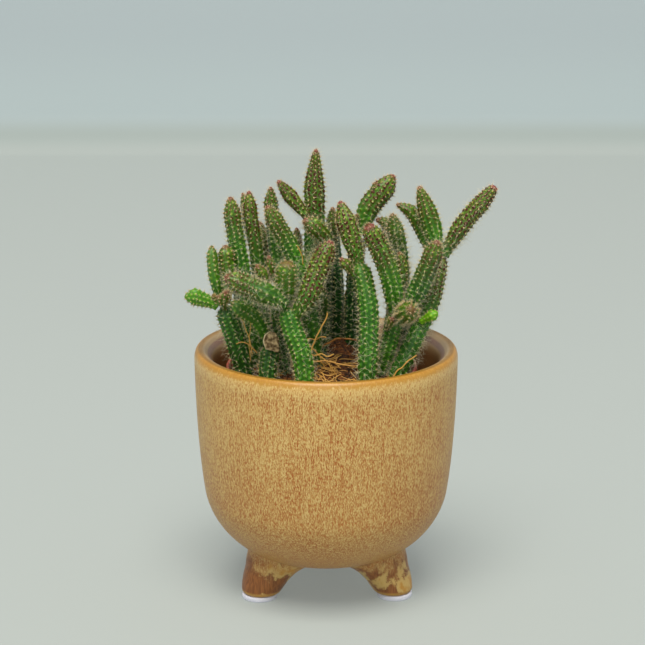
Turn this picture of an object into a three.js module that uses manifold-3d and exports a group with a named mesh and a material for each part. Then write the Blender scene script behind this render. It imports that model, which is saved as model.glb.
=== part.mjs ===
// A young mistletoe cactus in a pot. Bristly green stems stand in a clump of potting mix, in a soft
// plastic nursery pot, which is dropped loose into a glazed planter on three feet.
//
// Millimetres, +Z up, front towards -Y. The origin is on the table, under the middle of the whole
// object. The planter's own axis is a little to the left of it, because the stems reach further
// to the right.

import * as THREE from 'three';
import { mergeVertices } from 'three/addons/utils/BufferGeometryUtils.js';
import Module from 'manifold-3d';

const wasm = await Module();
wasm.setup();

// ---------------------------------------------------------------- driving dimensions

const AXIS_X = -4;              // the planter's axis, measured from the origin

const PLANTER_RADIUS = 40;
const PLANTER_HEIGHT = 76.3;
const BELLY_HEIGHT = 11.5;      // underside of the bowl above the table
const FLOOR_HEIGHT = 16;        // inside floor that the nursery pot stands on
const BORE_RADIUS = 33.8;       // inside of the planter, just below its lip

const PAD_RADIUS = 5.4;
const PAD_THICKNESS = 1.5;
const PAD_CIRCLE = 23.9;        // pads' centres from the planter's axis
const BACK_FOOT_ANGLE = 91.5;   // degrees round from +X

const POT_X = -1.4;             // the nursery pot stands a little off the planter's axis
const POT_TOP = 70.7;
const POT_RADIUS = 29;
const POT_WALL = 0.9;
const POT_RIM_BAND = 6;         // depth of the stiffer band round its rim
const POT_SHOULDER_RADIUS = 27.6;
const POT_BASE_RADIUS = 20.5;
const DRAIN_RADIUS = 3;
const DRAIN_CIRCLE = 12;

const SOIL_EDGE = 69.3;         // height of the potting mix at the pot's wall
const SOIL_CROWN = 72;          // and at the middle of its mound
const SOIL_BED = 17.2;
const CLEARANCE = 0.3;          // between pieces that touch
const ROOT_DEPTH = 6;           // length of each stem below the surface
const ROOT_SPREAD = 0.96;       // buried ends draw in towards the middle, as a share
const TIP_BLUNTNESS = 0.58;     // how a stem's girth falls off over its growing point

const ROUND_STEPS = 48;         // facets round the planter and the pots
const STEM_SIDES = 8;
const RING_SPACING = 6;         // along a stem

// ---------------------------------------------------------------- finishes

const glaze = new THREE.MeshStandardMaterial({ color: 0xb4925a, roughness: 0.35, metalness: 0 });
const foam = new THREE.MeshStandardMaterial({ color: 0xe4e8ee, roughness: 0.8, metalness: 0 });
const plastic = new THREE.MeshStandardMaterial({ color: 0xb0573c, roughness: 0.55, metalness: 0 });
const mix = new THREE.MeshStandardMaterial({ color: 0x2f270f, roughness: 0.95, metalness: 0 });
const skin = new THREE.MeshStandardMaterial({ color: 0x4a6b28, roughness: 0.6, metalness: 0 });
const papery = new THREE.MeshStandardMaterial({ color: 0x93815c, roughness: 0.9, metalness: 0 });

// ---------------------------------------------------------------- solids

// Merges the vertices that faces share, drops the empty triangles that a lathe leaves on its axis,
// and turns the faces outwards.
function weld(geometry) {
  geometry.deleteAttribute('normal');
  geometry.deleteAttribute('uv');
  const merged = mergeVertices(geometry, 1e-4);
  const source = merged.index.array;
  const place = merged.attributes.position;
  const corners = [0, 1, 2].map(() => new THREE.Vector3());
  const kept = [];
  let volume = 0;
  for (let i = 0; i < source.length; i += 3) {
    const [a, b, c] = [source[i], source[i + 1], source[i + 2]];
    if (a === b || b === c || c === a) continue;
    [a, b, c].forEach((index, k) => corners[k].fromBufferAttribute(place, index));
    volume += corners[0].dot(corners[1].clone().cross(corners[2]));
    kept.push(a, b, c);
  }
  if (volume < 0) {
    for (let i = 0; i < kept.length; i += 3) [kept[i], kept[i + 1]] = [kept[i + 1], kept[i]];
  }
  merged.setIndex(kept);
  return merged;
}

function toSolid(geometry) {
  return new wasm.Manifold(new wasm.Mesh({
    numProp: 3,
    vertProperties: new Float32Array(geometry.attributes.position.array),
    triVerts: new Uint32Array(geometry.index.array),
  }));
}

function toGeometry(solid) {
  const mesh = solid.getMesh();
  const geometry = new THREE.BufferGeometry();
  geometry.setAttribute('position', new THREE.BufferAttribute(mesh.vertProperties, 3));
  geometry.setIndex(new THREE.BufferAttribute(mesh.triVerts, 1));
  return geometry;
}

// Turns a profile of [radius, height] pairs about the vertical axis.
function turned(profile, steps = ROUND_STEPS) {
  const outline = profile.map(([radius, height]) => new THREE.Vector2(radius, height));
  return weld(new THREE.LatheGeometry(outline, steps).rotateX(Math.PI / 2));
}

// Closes a stack of rings, each an array of the same number of points, with a point at each end.
function lofted(rings, first, last) {
  const sides = rings[0].length;
  const points = [first, ...rings.flat(), last];
  const end = points.length - 1;
  const at = (ring, side) => 1 + ring * sides + (side % sides);
  const faces = [];
  for (let side = 0; side < sides; side++) {
    faces.push(0, at(0, side + 1), at(0, side));
    faces.push(end, at(rings.length - 1, side), at(rings.length - 1, side + 1));
    for (let ring = 0; ring < rings.length - 1; ring++) {
      faces.push(at(ring, side), at(ring, side + 1), at(ring + 1, side + 1));
      faces.push(at(ring, side), at(ring + 1, side + 1), at(ring + 1, side));
    }
  }
  const geometry = new THREE.BufferGeometry();
  const coordinates = points.flatMap((p) => [p.x, p.y, p.z]);
  geometry.setAttribute('position', new THREE.Float32BufferAttribute(coordinates, 3));
  geometry.setIndex(faces);
  return weld(geometry);
}

function curvePoints(curve, count) {
  return curve.getPoints(count).map((p) => [p.x, p.y]);
}

// ---------------------------------------------------------------- planter

// The bowl: a round belly that draws in to a flat underside, nearly straight walls, and a thick
// lip that slopes inwards.
function bowlProfile() {
  const waist = new THREE.Vector2(37.2, 31);
  const belly = new THREE.CubicBezierCurve(
    new THREE.Vector2(15, BELLY_HEIGHT),
    new THREE.Vector2(25.5, BELLY_HEIGHT),
    new THREE.Vector2(35.2, 20.5),
    waist,
  );
  const wall = new THREE.QuadraticBezierCurve(
    waist,
    new THREE.Vector2(39.6, 46),
    new THREE.Vector2(PLANTER_RADIUS, PLANTER_HEIGHT - 3.3),
  );
  const lip = new THREE.QuadraticBezierCurve(
    new THREE.Vector2(PLANTER_RADIUS, PLANTER_HEIGHT - 3.3),
    new THREE.Vector2(PLANTER_RADIUS, PLANTER_HEIGHT),
    new THREE.Vector2(38.2, PLANTER_HEIGHT),
  );
  const hollow = new THREE.CubicBezierCurve(
    new THREE.Vector2(33.2, 48),
    new THREE.Vector2(32.6, 30),
    new THREE.Vector2(29, FLOOR_HEIGHT),
    new THREE.Vector2(22, FLOOR_HEIGHT),
  );
  return [
    [0, BELLY_HEIGHT],
    ...curvePoints(belly, 6),
    ...curvePoints(wall, 4).slice(1),
    ...curvePoints(lip, 3).slice(1),
    [36.4, PLANTER_HEIGHT - 0.8],
    [35, PLANTER_HEIGHT - 2.4],
    [BORE_RADIUS, PLANTER_HEIGHT - 4.3],
    ...curvePoints(hollow, 5),
    [0, FLOOR_HEIGHT],
  ];
}

// A stubby foot, as [height, distance of its middle from the planter's axis, radius].
const FOOT_SECTIONS = [
  [PAD_THICKNESS, 23.1, 4.7],
  [2.6, 22.9, 5.6],
  [5, 22, 6.6],
  [8, 20.6, 7.2],
  [11, 19, 8],
  [15.5, 16.5, 8],
];

function footAngles() {
  return [BACK_FOOT_ANGLE, BACK_FOOT_ANGLE + 120, BACK_FOOT_ANGLE + 240].map(THREE.MathUtils.degToRad);
}

function foot(angle) {
  const sides = 16;
  const middle = ([height, distance]) =>
    new THREE.Vector3(distance * Math.cos(angle), distance * Math.sin(angle), height);
  const rings = FOOT_SECTIONS.map((section) => Array.from({ length: sides }, (_, side) => {
    const turn = (2 * Math.PI * side) / sides;
    return new THREE.Vector3(Math.cos(turn), Math.sin(turn), 0)
      .multiplyScalar(section[2])
      .add(middle(section));
  }));
  return lofted(rings, middle(FOOT_SECTIONS[0]), middle(FOOT_SECTIONS.at(-1)));
}

function planter() {
  const bowl = toSolid(turned(bowlProfile()));
  return toGeometry(footAngles().reduce((body, angle) => body.add(toSolid(foot(angle))), bowl));
}

// A white self-adhesive pad under each foot, which keeps the glaze off the table.
function pad(angle) {
  return new THREE.CylinderGeometry(PAD_RADIUS, PAD_RADIUS, PAD_THICKNESS, 24)
    .rotateX(Math.PI / 2)
    .translate(PAD_CIRCLE * Math.cos(angle), PAD_CIRCLE * Math.sin(angle), PAD_THICKNESS / 2);
}

// ---------------------------------------------------------------- nursery pot

// A thin tapered pot with a deeper band round its rim, and four drain holes in its base.
function nurseryPot() {
  const shoulder = POT_TOP - POT_RIM_BAND;
  const shell = toSolid(turned([
    [0, FLOOR_HEIGHT],
    [POT_BASE_RADIUS, FLOOR_HEIGHT],
    [POT_SHOULDER_RADIUS, shoulder],
    [POT_RADIUS, shoulder + 0.6],
    [POT_RADIUS, POT_TOP],
    [POT_RADIUS - POT_WALL, POT_TOP],
    [POT_RADIUS - POT_WALL, shoulder + 1.4],
    [POT_SHOULDER_RADIUS - POT_WALL, shoulder + 0.6],
    [POT_BASE_RADIUS - POT_WALL, FLOOR_HEIGHT + POT_WALL],
    [0, FLOOR_HEIGHT + POT_WALL],
  ]));
  let pot = shell;
  for (let hole = 0; hole < 4; hole++) {
    const angle = (Math.PI / 2) * (hole + 0.5);
    const drill = new THREE.CylinderGeometry(DRAIN_RADIUS, DRAIN_RADIUS, 6, 16)
      .rotateX(Math.PI / 2)
      .translate(DRAIN_CIRCLE * Math.cos(angle), DRAIN_CIRCLE * Math.sin(angle), FLOOR_HEIGHT);
    pot = pot.subtract(toSolid(weld(drill)));
  }
  return toGeometry(pot).translate(POT_X, 0, 0);
}

// ---------------------------------------------------------------- stems

// Each stem of the clump. A rooted one starts with the point where it leaves the potting mix; a
// branch starts with its narrow neck, just clear of the stem it grows from. The points are
// [x, y, z] from the planter's axis, with height above the table; girth is the stem's radius and
// tip is the length over which it comes to its growing point.
const rooted = (name, girth, tip, ...path) => ({ name, girth, tip, path, rooted: true });
const branch = (name, girth, tip, ...path) => ({ name, girth, tip, path, rooted: false });

const STEMS = [
  // the left of the clump
  rooted('stem_left_main', 3, 3,
    [-24.5, -6, 69.5], [-26, -7, 76], [-28.5, -8, 85], [-30.5, -9, 91.5]),
  branch('branch_left_slim', 1.6, 3, [-32, -8, 93.2], [-33.5, -8.5, 102], [-34, -6, 109]),
  branch('branch_left_blunt', 2.3, 2.5, [-29.7, -6.5, 93], [-29.5, -6, 101.5], [-30, -5.5, 109]),
  branch('branch_left_side', 2.5, 3, [-33.7, -9.8, 92.2], [-38, -10, 94], [-42, -11, 94.5]),
  branch('bud_left_main', 1.3, 2, [-30.2, -11.2, 92], [-29.5, -14, 97]),
  rooted('stem_left_stub', 2.8, 3, [-17.5, -14, 69.5], [-17, -13, 75], [-16.5, -12, 80.5]),
  branch('branch_left_low', 2.2, 3,
    [-17.9, -12, 82.4], [-21, -13, 88], [-24, -14, 90.5], [-28, -15, 94]),
  rooted('stem_left_tall', 2.5, 5,
    [-21, 1.5, 70], [-23.5, -1, 91], [-26, -2, 104], [-27.5, -2, 114.5], [-28.5, -2.5, 123]),
  rooted('stem_left_second', 2.1, 5,
    [-18, 6, 69.5], [-20, 2, 93.5], [-21, 0, 106], [-22.5, -0.5, 117], [-23, -1, 124.5]),
  branch('branch_left_second', 1.2, 4, [-22.5, 3, 107], [-24, 4, 115], [-25, 4, 123]),
  rooted('stem_left_third', 2, 5,
    [-11, 6, 69.5], [-13.5, 5, 92.5], [-15.5, 3, 110], [-16.5, 1, 119.5], [-16.5, 0, 125.5]),
  rooted('stem_left_woolly', 2, 4,
    [-12.5, -8, 70.5], [-13.5, -9, 80.5], [-14.5, -10, 89], [-15.5, -11, 94]),
  rooted('stem_left_leaning', 2.5, 5,
    [-3.5, -2.5, 70], [-5.5, -4.5, 92], [-8, -6.5, 102], [-12, -6.5, 111], [-17.5, -9, 121.5]),

  // the front left
  rooted('stem_front_left', 2.9, 3.5,
    [-6.5, -19, 69.5], [-7, -18, 77.5], [-10, -17, 86], [-12, -16, 93]),
  branch('branch_front_left_side', 2.9, 3.5,
    [-13.2, -18.5, 95], [-17.5, -21, 98], [-22.5, -21, 100], [-29.5, -23, 103.5]),
  branch('branch_front_left_top', 2.9, 2.5,
    [-11.8, -14.8, 95.8], [-11.8, -17.5, 100.5], [-11.2, -19.5, 107]),
  branch('branch_front_left_reach', 2.9, 4,
    [-8.5, -17, 91.5], [-5.5, -17, 96], [-2.5, -15, 103.5], [1.5, -13, 112]),
  branch('bud_front_left_side', 1.7, 3, [-17.4, -16.6, 98.5], [-18.5, -17, 102.5], [-20.5, -18, 106]),
  branch('bud_front_left_top', 1.2, 2.5, [-15, -12.5, 99.5], [-16, -13, 103], [-17, -13, 107.5]),

  // the middle
  rooted('stem_tall_centre', 3, 12,
    [-4.5, 9, 70.5], [-4, 6.5, 92], [-3.5, 3.5, 114], [-3.5, 3, 125.5], [-3, 1, 136.8]),
  branch('branch_tall_centre', 2.2, 6, [-6.6, 0.2, 117.4], [-10, 1, 121.5], [-14.5, 0, 127.5]),
  rooted('stem_centre_bowed', 2.5, 3.5,
    [-8.2, 2.5, 70.5], [-6.8, 1.3, 90.5], [-4.2, -1, 101], [-0.5, -4, 108.5],
    [-1.5, -6, 113], [-6.8, -8.5, 117.3]),
  rooted('stem_inner', 2.2, 5, [-1.8, 3.5, 70.5], [-1.8, 2.5, 83.5], [-0.8, -1.5, 95]),
  rooted('stem_centre_front', 2.7, 3,
    [12, -17, 69.5], [12.5, -15, 81.5], [12.5, -14, 92], [11, -12, 100], [9.5, -10, 105]),
  branch('branch_centre_front', 2.8, 6,
    [9.3, -9.7, 105.6], [7, -8, 112.5], [5.5, -7, 117.5], [4, -6, 122.5]),
  branch('bud_centre_front', 1.6, 3, [7.4, -13.8, 102.8], [6, -15, 105], [4, -16, 107.5]),

  // the right of the clump
  rooted('stem_right_inner', 2.6, 3,
    [16.5, -7, 70.5], [18.5, -8.5, 78], [20, -8.5, 85], [20.5, -9.5, 90]),
  branch('branch_right_bright', 2.9, 4,
    [20.4, -10.6, 91.6], [19, -13, 100.5], [16, -15, 109], [12, -17, 117.5]),
  branch('branch_right_facing', 2.7, 2.5, [21.9, -12.3, 88.2], [23.4, -17, 91], [24.8, -22.5, 93.6]),
  branch('bud_right_inner', 1.1, 1.5, [18.5, -12, 85.5], [19.5, -16.5, 89.5]),
  branch('branch_right_head', 2.8, 4,
    [23.5, -9.5, 90.2], [26, -10, 94], [28, -11, 99], [30.5, -13, 105.5], [32.5, -15, 112.5]),
  rooted('stem_right_woolly', 2.4, 5,
    [20, -2.5, 70.5], [22, -3, 85.5], [22.5, -3, 96], [22, -3, 105.5], [19.5, -5, 118.5]),
  branch('bud_right_woolly', 1.6, 4, [23, -6.8, 95.5], [23, -9, 101.5], [21.5, -10, 108]),
  rooted('stem_right_main', 2.6, 3,
    [21, -10.5, 69.5], [24.5, -9.5, 77], [28, -6.5, 84], [31.5, -4.5, 92], [34, -4, 106]),
  branch('branch_right_up', 2.8, 8,
    [33.1, -2.2, 108.1], [31.5, -1, 114], [29.5, -1, 120], [27.5, -1, 126]),
  branch('branch_right_out', 2.9, 7,
    [36.7, -4.3, 108.8], [41, -4, 115.5], [45.7, -4, 121], [50, -4, 126.5]),
  branch('branch_right_arch', 2, 5, [32.5, -0.6, 105], [29.5, 3, 110], [26, 4, 116.5], [21, 4, 119.5]),
  branch('bud_right_main', 1.9, 2, [29.4, -9.8, 87.4], [33, -12, 90]),

  // the back
  rooted('stem_back_club', 2.4, 3, [8, 15, 70.5], [8.5, 12, 87.5], [9, 9, 100.5], [10, 7, 109]),
  branch('branch_back_club', 3.2, 5,
    [10.5, 6.4, 111.3], [13, 7.5, 117.5], [17, 8, 122.5], [20.5, 9, 127.5]),
  rooted('stem_back_arched', 1.9, 4,
    [18, 5.5, 70.5], [20, 7, 82.5], [20.5, 8, 104.5], [18.5, 7, 112.5], [15, 5.5, 114.5]),
  rooted('stem_back_centre', 2.2, 4, [-0.5, 14, 71], [-0.5, 12, 88], [0, 10, 100], [-0.5, 8.5, 109]),
  rooted('stem_back_far', 2, 5, [3, 19, 70.5], [3.5, 15, 90], [2, 13, 109.5], [2, 12, 117]),
  rooted('stem_back_slim', 1.6, 4,
    [-7.5, 17, 70.5], [-8.5, 14, 87], [-8.5, 12, 99.5], [-9, 10, 111]),
  rooted('stem_back_short', 2.1, 4,
    [6.5, 21.5, 69.5], [6.8, 20, 78], [6.8, 19, 84], [6.5, 18, 89]),
  rooted('stem_back_left', 1.9, 4, [-18, 14, 70], [-18.5, 11, 88], [-19, 10, 102.5], [-20, 9, 113]),
  rooted('stem_back_inner', 2.1, 4,
    [-13, 19, 69.5], [-12, 17, 86.5], [-11.5, 16, 97], [-11, 15, 103]),
  rooted('stem_back_outer', 2.1, 4,
    [-22.5, 10, 70], [-26, 10, 88], [-27, 9, 98], [-26, 8, 105.5]),
  rooted('stem_back_right', 2.2, 4,
    [20.5, 11, 70], [26, 12, 80], [30, 13, 87.5], [33, 13, 95.5], [35, 12, 101]),
];

// The stem's centre line. A rooted stem is carried on down into the potting mix, nearly upright.
function stemCurve(stem) {
  const points = stem.path.map((p) => new THREE.Vector3(...p));
  if (stem.rooted) {
    const buried = points[0].clone();
    buried.x = POT_X + (buried.x - POT_X) * ROOT_SPREAD;
    buried.y *= ROOT_SPREAD;
    buried.z -= ROOT_DEPTH;
    points.unshift(buried);
  }
  return new THREE.CatmullRomCurve3(points, false, 'centripetal');
}

// The stem's radius at a distance from its lower end: a narrow neck on a branch, a slimmer foot on
// a rooted stem, full girth along the body, and a growing point that closes in.
function stemRadius(stem, distance, length) {
  const neck = stem.rooted ? 0.8 : 0.6;
  const swell = stem.rooted ? 14 : 4;
  const body = neck + (1 - neck) * THREE.MathUtils.smoothstep(distance, 0, swell);
  const toTip = (length - distance) / stem.tip;
  return stem.girth * body * Math.min(1, toTip) ** TIP_BLUNTNESS;
}

// Where the rings lie, as distances from the lower end: even along the body, closer at the tip.
function ringDistances(stem, length) {
  const tipStart = length - stem.tip;
  const steps = Math.max(1, Math.round(tipStart / RING_SPACING));
  const body = Array.from({ length: steps + 1 }, (_, i) => (tipStart * i) / steps);
  if (!stem.rooted && tipStart > 4) body.splice(1, 0, 1.5);
  return [...body, ...[0.6, 0.3, 0.1].map((part) => length - stem.tip * part)];
}

// The stem's rings at the given distances, each pushed out by the allowance.
function stemRings(stem, curve, distances, allowance = 0) {
  const length = curve.getLength();
  let across = new THREE.Vector3(1, 0, 0);
  return distances.map((distance) => {
    const middle = curve.getPointAt(distance / length);
    const along = curve.getTangentAt(distance / length);
    across = across.clone().addScaledVector(along, -across.dot(along)).normalize();
    const third = along.clone().cross(across);
    const radius = stemRadius(stem, distance, length) + allowance;
    return Array.from({ length: STEM_SIDES }, (_, side) => {
      const turn = (2 * Math.PI * side) / STEM_SIDES;
      return middle.clone()
        .addScaledVector(across, radius * Math.cos(turn))
        .addScaledVector(third, radius * Math.sin(turn));
    });
  });
}

function stemBody(stem) {
  const curve = stemCurve(stem);
  const rings = stemRings(stem, curve, ringDistances(stem, curve.getLength()));
  return lofted(rings, curve.getPointAt(0), curve.getPointAt(1));
}

// ---------------------------------------------------------------- potting mix

// The hole a rooted stem makes in the potting mix: its lowest rings, a clearance larger all over.
function socket(stem) {
  const curve = stemCurve(stem);
  const distances = ringDistances(stem, curve.getLength());
  const mouth = distances.findIndex((distance) => distance > ROOT_DEPTH + 3);
  const allowance = CLEARANCE / Math.cos(Math.PI / STEM_SIDES);
  const rings = stemRings(stem, curve, distances.slice(0, mouth + 1), allowance);
  const below = curve.getTangentAt(0).multiplyScalar(-CLEARANCE);
  rings[0].forEach((point) => point.add(below));
  const top = curve.getPointAt(distances[mouth] / curve.getLength());
  return lofted(rings, curve.getPointAt(0).add(below), top);
}

// The mix fills the nursery pot and is heaped towards the middle. It has a socket for each stem.
function pottingMix() {
  const shoulder = POT_TOP - POT_RIM_BAND;
  const taper = (POT_SHOULDER_RADIUS - POT_BASE_RADIUS) / (shoulder - FLOOR_HEIGHT);
  const wallAt = (height) => POT_BASE_RADIUS - POT_WALL + (height - FLOOR_HEIGHT) * taper;
  const fill = toSolid(turned([
    [0, SOIL_BED],
    [wallAt(SOIL_BED) - CLEARANCE, SOIL_BED],
    [wallAt(64.5) - CLEARANCE, 64.5],
    [26.3, 66.4],
    [27.3, 67.4],
    [27.3, SOIL_EDGE - 0.6],
    [25, SOIL_EDGE],
    [17, SOIL_EDGE + 1],
    [8, SOIL_CROWN - 0.4],
    [0, SOIL_CROWN],
  ]).translate(POT_X, 0, 0));
  const sockets = STEMS.filter((stem) => stem.rooted).map((stem) => toSolid(socket(stem)));
  return toGeometry(sockets.reduce((body, hole) => body.subtract(hole), fill));
}

// ---------------------------------------------------------------- dry husk

// A curled scrap of dry skin, caught on top of the short stub at the left.
function dryHusk() {
  const outline = new THREE.Shape([
    [-2.6, 0.6], [-1.9, 2.4], [-0.3, 3], [1.5, 2.3], [2.5, 0.6],
    [2.2, -1.4], [0.8, -2.9], [-0.6, -2.6], [-1.6, -1.5],
  ].map(([x, y]) => new THREE.Vector2(x, y)));
  const flake = new THREE.ExtrudeGeometry(outline, { depth: 0.5, bevelEnabled: false });
  const place = flake.attributes.position;
  for (let i = 0; i < place.count; i++) {
    const curl = 0.12 * (place.getX(i) ** 2 + 0.4 * place.getY(i) ** 2);
    place.setZ(i, place.getZ(i) - curl);
  }
  return weld(flake.rotateX(Math.PI / 2).translate(-16.4, -17, 82.4));
}

// ---------------------------------------------------------------- assembly

const cactus = new THREE.Group();
cactus.position.x = AXIS_X;

function addPiece(name, geometry, material) {
  const mesh = new THREE.Mesh(geometry, material);
  mesh.name = name;
  cactus.add(mesh);
}

addPiece('planter', planter(), glaze);
['pad_back', 'pad_front_left', 'pad_front_right'].forEach((name, i) => {
  addPiece(name, pad(footAngles()[i]), foam);
});
addPiece('nursery_pot', nurseryPot(), plastic);
addPiece('potting_mix', pottingMix(), mix);
STEMS.forEach((stem) => addPiece(stem.name, stemBody(stem), skin));
addPiece('dry_husk', dryHusk(), papery);

export default cactus;
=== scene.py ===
import math

import bmesh
import bpy
import numpy as np
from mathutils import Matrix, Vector, noise


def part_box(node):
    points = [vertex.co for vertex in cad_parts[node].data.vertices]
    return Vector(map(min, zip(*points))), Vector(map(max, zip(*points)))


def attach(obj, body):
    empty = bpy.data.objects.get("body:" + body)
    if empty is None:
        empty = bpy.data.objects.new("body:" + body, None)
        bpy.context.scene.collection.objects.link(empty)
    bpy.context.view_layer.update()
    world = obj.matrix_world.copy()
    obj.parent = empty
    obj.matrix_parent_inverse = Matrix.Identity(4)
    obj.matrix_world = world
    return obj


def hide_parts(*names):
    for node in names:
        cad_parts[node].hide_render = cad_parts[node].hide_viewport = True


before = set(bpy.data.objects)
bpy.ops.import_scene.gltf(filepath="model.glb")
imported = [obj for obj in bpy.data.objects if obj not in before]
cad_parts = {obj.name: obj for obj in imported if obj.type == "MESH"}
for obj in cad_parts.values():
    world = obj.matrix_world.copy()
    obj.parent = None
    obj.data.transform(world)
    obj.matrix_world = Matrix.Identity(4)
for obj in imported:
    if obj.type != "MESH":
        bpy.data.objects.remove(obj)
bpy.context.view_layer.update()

# ------------------------------------------------------------------------------ the view
# The pot stands at eye distance on a table and is looked at from the front, a little from above,
# with a long lens, so its sides hardly converge.

MM = 0.001
planter_low, planter_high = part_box("planter")
AXIS_X = (planter_low.x + planter_high.x) / 2     # the planter's own axis
LIP_Z = planter_high.z

VIEW_DISTANCE = 600 * MM
VIEW_ELEVATION = math.radians(14.82)
VIEW_AIM = Vector((AXIS_X - 1.1 * MM, 0, LIP_Z + 7.4 * MM))

camera = bpy.data.objects.new("camera", bpy.data.cameras.new("camera"))
camera.data.sensor_width = 36
camera.data.lens = 110.6
camera.data.clip_start = 10 * MM
viewer_back = Vector((0, -math.cos(VIEW_ELEVATION), math.sin(VIEW_ELEVATION)))
camera.location = VIEW_AIM + viewer_back * VIEW_DISTANCE
camera.rotation_euler = (-viewer_back).to_track_quat("-Z", "Y").to_euler()
bpy.context.scene.collection.objects.link(camera)
bpy.context.scene.camera = camera
bpy.context.scene.view_settings.view_transform = "Standard"

# ------------------------------------------------------------------------------ planter
# A slip-cast stoneware bowl with three stubby feet drawn out of its belly. It was dipped in a
# brown glaze and then in an ochre one that broke into fine vertical rivulets in the kiln, ran
# thin and amber over the lip, and left the feet nearly bare.


def node(tree, kind, inputs=None, **settings):
    """Adds a node. Settings are its own properties. Inputs are its sockets' values, or the socket or
    the node that feeds them; a node stands for its first output."""
    made = tree.nodes.new(kind)
    for name, value in settings.items():
        setattr(made, name, value)
    for key, value in (inputs or {}).items():
        if isinstance(value, bpy.types.Node):
            value = value.outputs[0]
        if isinstance(value, bpy.types.NodeSocket):
            tree.links.new(value, made.inputs[key])
        else:
            made.inputs[key].default_value = value
    return made


def colour(hex_value):
    """An sRGB hex value as linear red, green, blue and alpha."""
    parts = [int(hex_value[i:i + 2], 16) / 255 for i in (0, 2, 4)]
    return [c / 12.92 if c <= 0.04045 else ((c + 0.055) / 1.055) ** 2.4 for c in parts] + [1]


def new_material(name, roughness, ior):
    """A material with a Principled shader, returned with its node tree and that shader."""
    material = bpy.data.materials.new(name)
    material.use_nodes = True
    tree = material.node_tree
    shader = tree.nodes["Principled BSDF"]
    shader.inputs["Roughness"].default_value = roughness
    shader.inputs["IOR"].default_value = ior
    return material, tree, shader


def new_piece(name, vertices, faces, *materials):
    """A smooth-shaded mesh object from points and faces, at the origin."""
    mesh = bpy.data.meshes.new(name)
    mesh.from_pydata([tuple(v) for v in vertices], [], faces)
    for material in materials:
        mesh.materials.append(material)
    mesh.shade_smooth()
    piece = bpy.data.objects.new(name, mesh)
    bpy.context.scene.collection.objects.link(piece)
    return piece


def bezier(points, count):
    """Points along one Bezier curve of any degree, the first left out."""
    points = np.array(points, float)
    degree = len(points) - 1
    share = np.linspace(0, 1, count + 1)[1:, None]
    return sum(math.comb(degree, k) * share ** k * (1 - share) ** (degree - k) * points[k]
               for k in range(degree + 1))


def turned(profile, steps, centre_x):
    """Points and faces of a (radius, height) profile in millimetres, turned about a vertical axis.

    The profile starts and ends on the axis, so it closes at a pole at each end."""
    ring = [(math.cos(t), math.sin(t)) for t in np.linspace(0, 2 * math.pi, steps, endpoint=False)]
    points = [(centre_x, 0, profile[0][1] * MM)]
    for radius, height in profile[1:-1]:
        points += [(centre_x + radius * MM * x, radius * MM * y, height * MM) for x, y in ring]
    points.append((centre_x, 0, profile[-1][1] * MM))
    rows, last = len(profile) - 2, len(points) - 1
    at = lambda row, step: 1 + row * steps + step % steps
    faces = [(0, at(0, s + 1), at(0, s)) for s in range(steps)]
    faces += [(at(r, s), at(r, s + 1), at(r + 1, s + 1), at(r + 1, s))
              for r in range(rows - 1) for s in range(steps)]
    faces += [(last, at(rows - 1, s), at(rows - 1, s + 1)) for s in range(steps)]
    return points, faces


BELLY_Z, FLOOR_Z, PAD_THICKNESS = 11.5, 16, 1.5      # millimetres above the table
WALL_RADIUS, LIP_HEIGHT = 40, LIP_Z / MM
FOOT_ANGLES = [math.radians(91.5 + turn) for turn in (0, 120, 240)]

outer_outline = np.vstack([
    [[0, BELLY_Z], [15, BELLY_Z]],
    bezier([(15, BELLY_Z), (25.5, BELLY_Z), (35.2, 20.5), (37.2, 31)], 24),
    bezier([(37.2, 31), (39.6, 46), (WALL_RADIUS, LIP_HEIGHT - 3.3)], 24),
    bezier([(WALL_RADIUS, LIP_HEIGHT - 3.3), (WALL_RADIUS, LIP_HEIGHT), (38.2, LIP_HEIGHT)], 12),
])
inner_outline = np.vstack([
    bezier([(38.2, LIP_HEIGHT), (36.9, LIP_HEIGHT), (36.2, LIP_HEIGHT - 1.2)], 5),
    bezier([(36.2, LIP_HEIGHT - 1.2), (34.9, LIP_HEIGHT - 2.2), (34.5, LIP_HEIGHT - 3.2)], 5),
    bezier([(34.5, LIP_HEIGHT - 3.2), (33.9, LIP_HEIGHT - 4.5), (33.6, 66), (33.2, 48)], 14),
    bezier([(33.2, 48), (32.6, 30), (29, FLOOR_Z), (22, FLOOR_Z)], 24),
    [[0, FLOOR_Z]],
])
bowl_outline = np.vstack([outer_outline, inner_outline])

# A foot's middle line and girth, from the pad up into the belly.
foot_heights = np.array([PAD_THICKNESS, 2.6, 5, 8, 11, 15.5])
foot_reach = np.array([23.3, 23.1, 22.0, 19.7, 17.2, 13.6])
foot_radius = np.array([5.5, 6.2, 7.0, 8.4, 10.2, 11.8])
FOOT_FILLET = 7             # between a foot and the belly, in millimetres


def distance_to_outline(points, outline):
    """Signed distance of (radius, height) points from a closed outline, negative inside it."""
    start, end = outline[:-1], outline[1:]
    along = end - start
    offset = points[:, None] - start
    share = np.clip((offset * along).sum(2) / np.maximum((along ** 2).sum(1), 1e-12), 0, 1)
    gap = np.linalg.norm(offset - share[..., None] * along, axis=2).min(1)
    above = (start[:, 1] > points[:, 1, None]) != (end[:, 1] > points[:, 1, None])
    rise = np.where(along[:, 1] == 0, 1, along[:, 1])
    crossing = start[:, 0] + (points[:, 1, None] - start[:, 1]) * along[:, 0] / rise
    inside = (above & (points[:, 0, None] < crossing)).sum(1) % 2 == 1
    return np.where(inside, -gap, gap)


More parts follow.
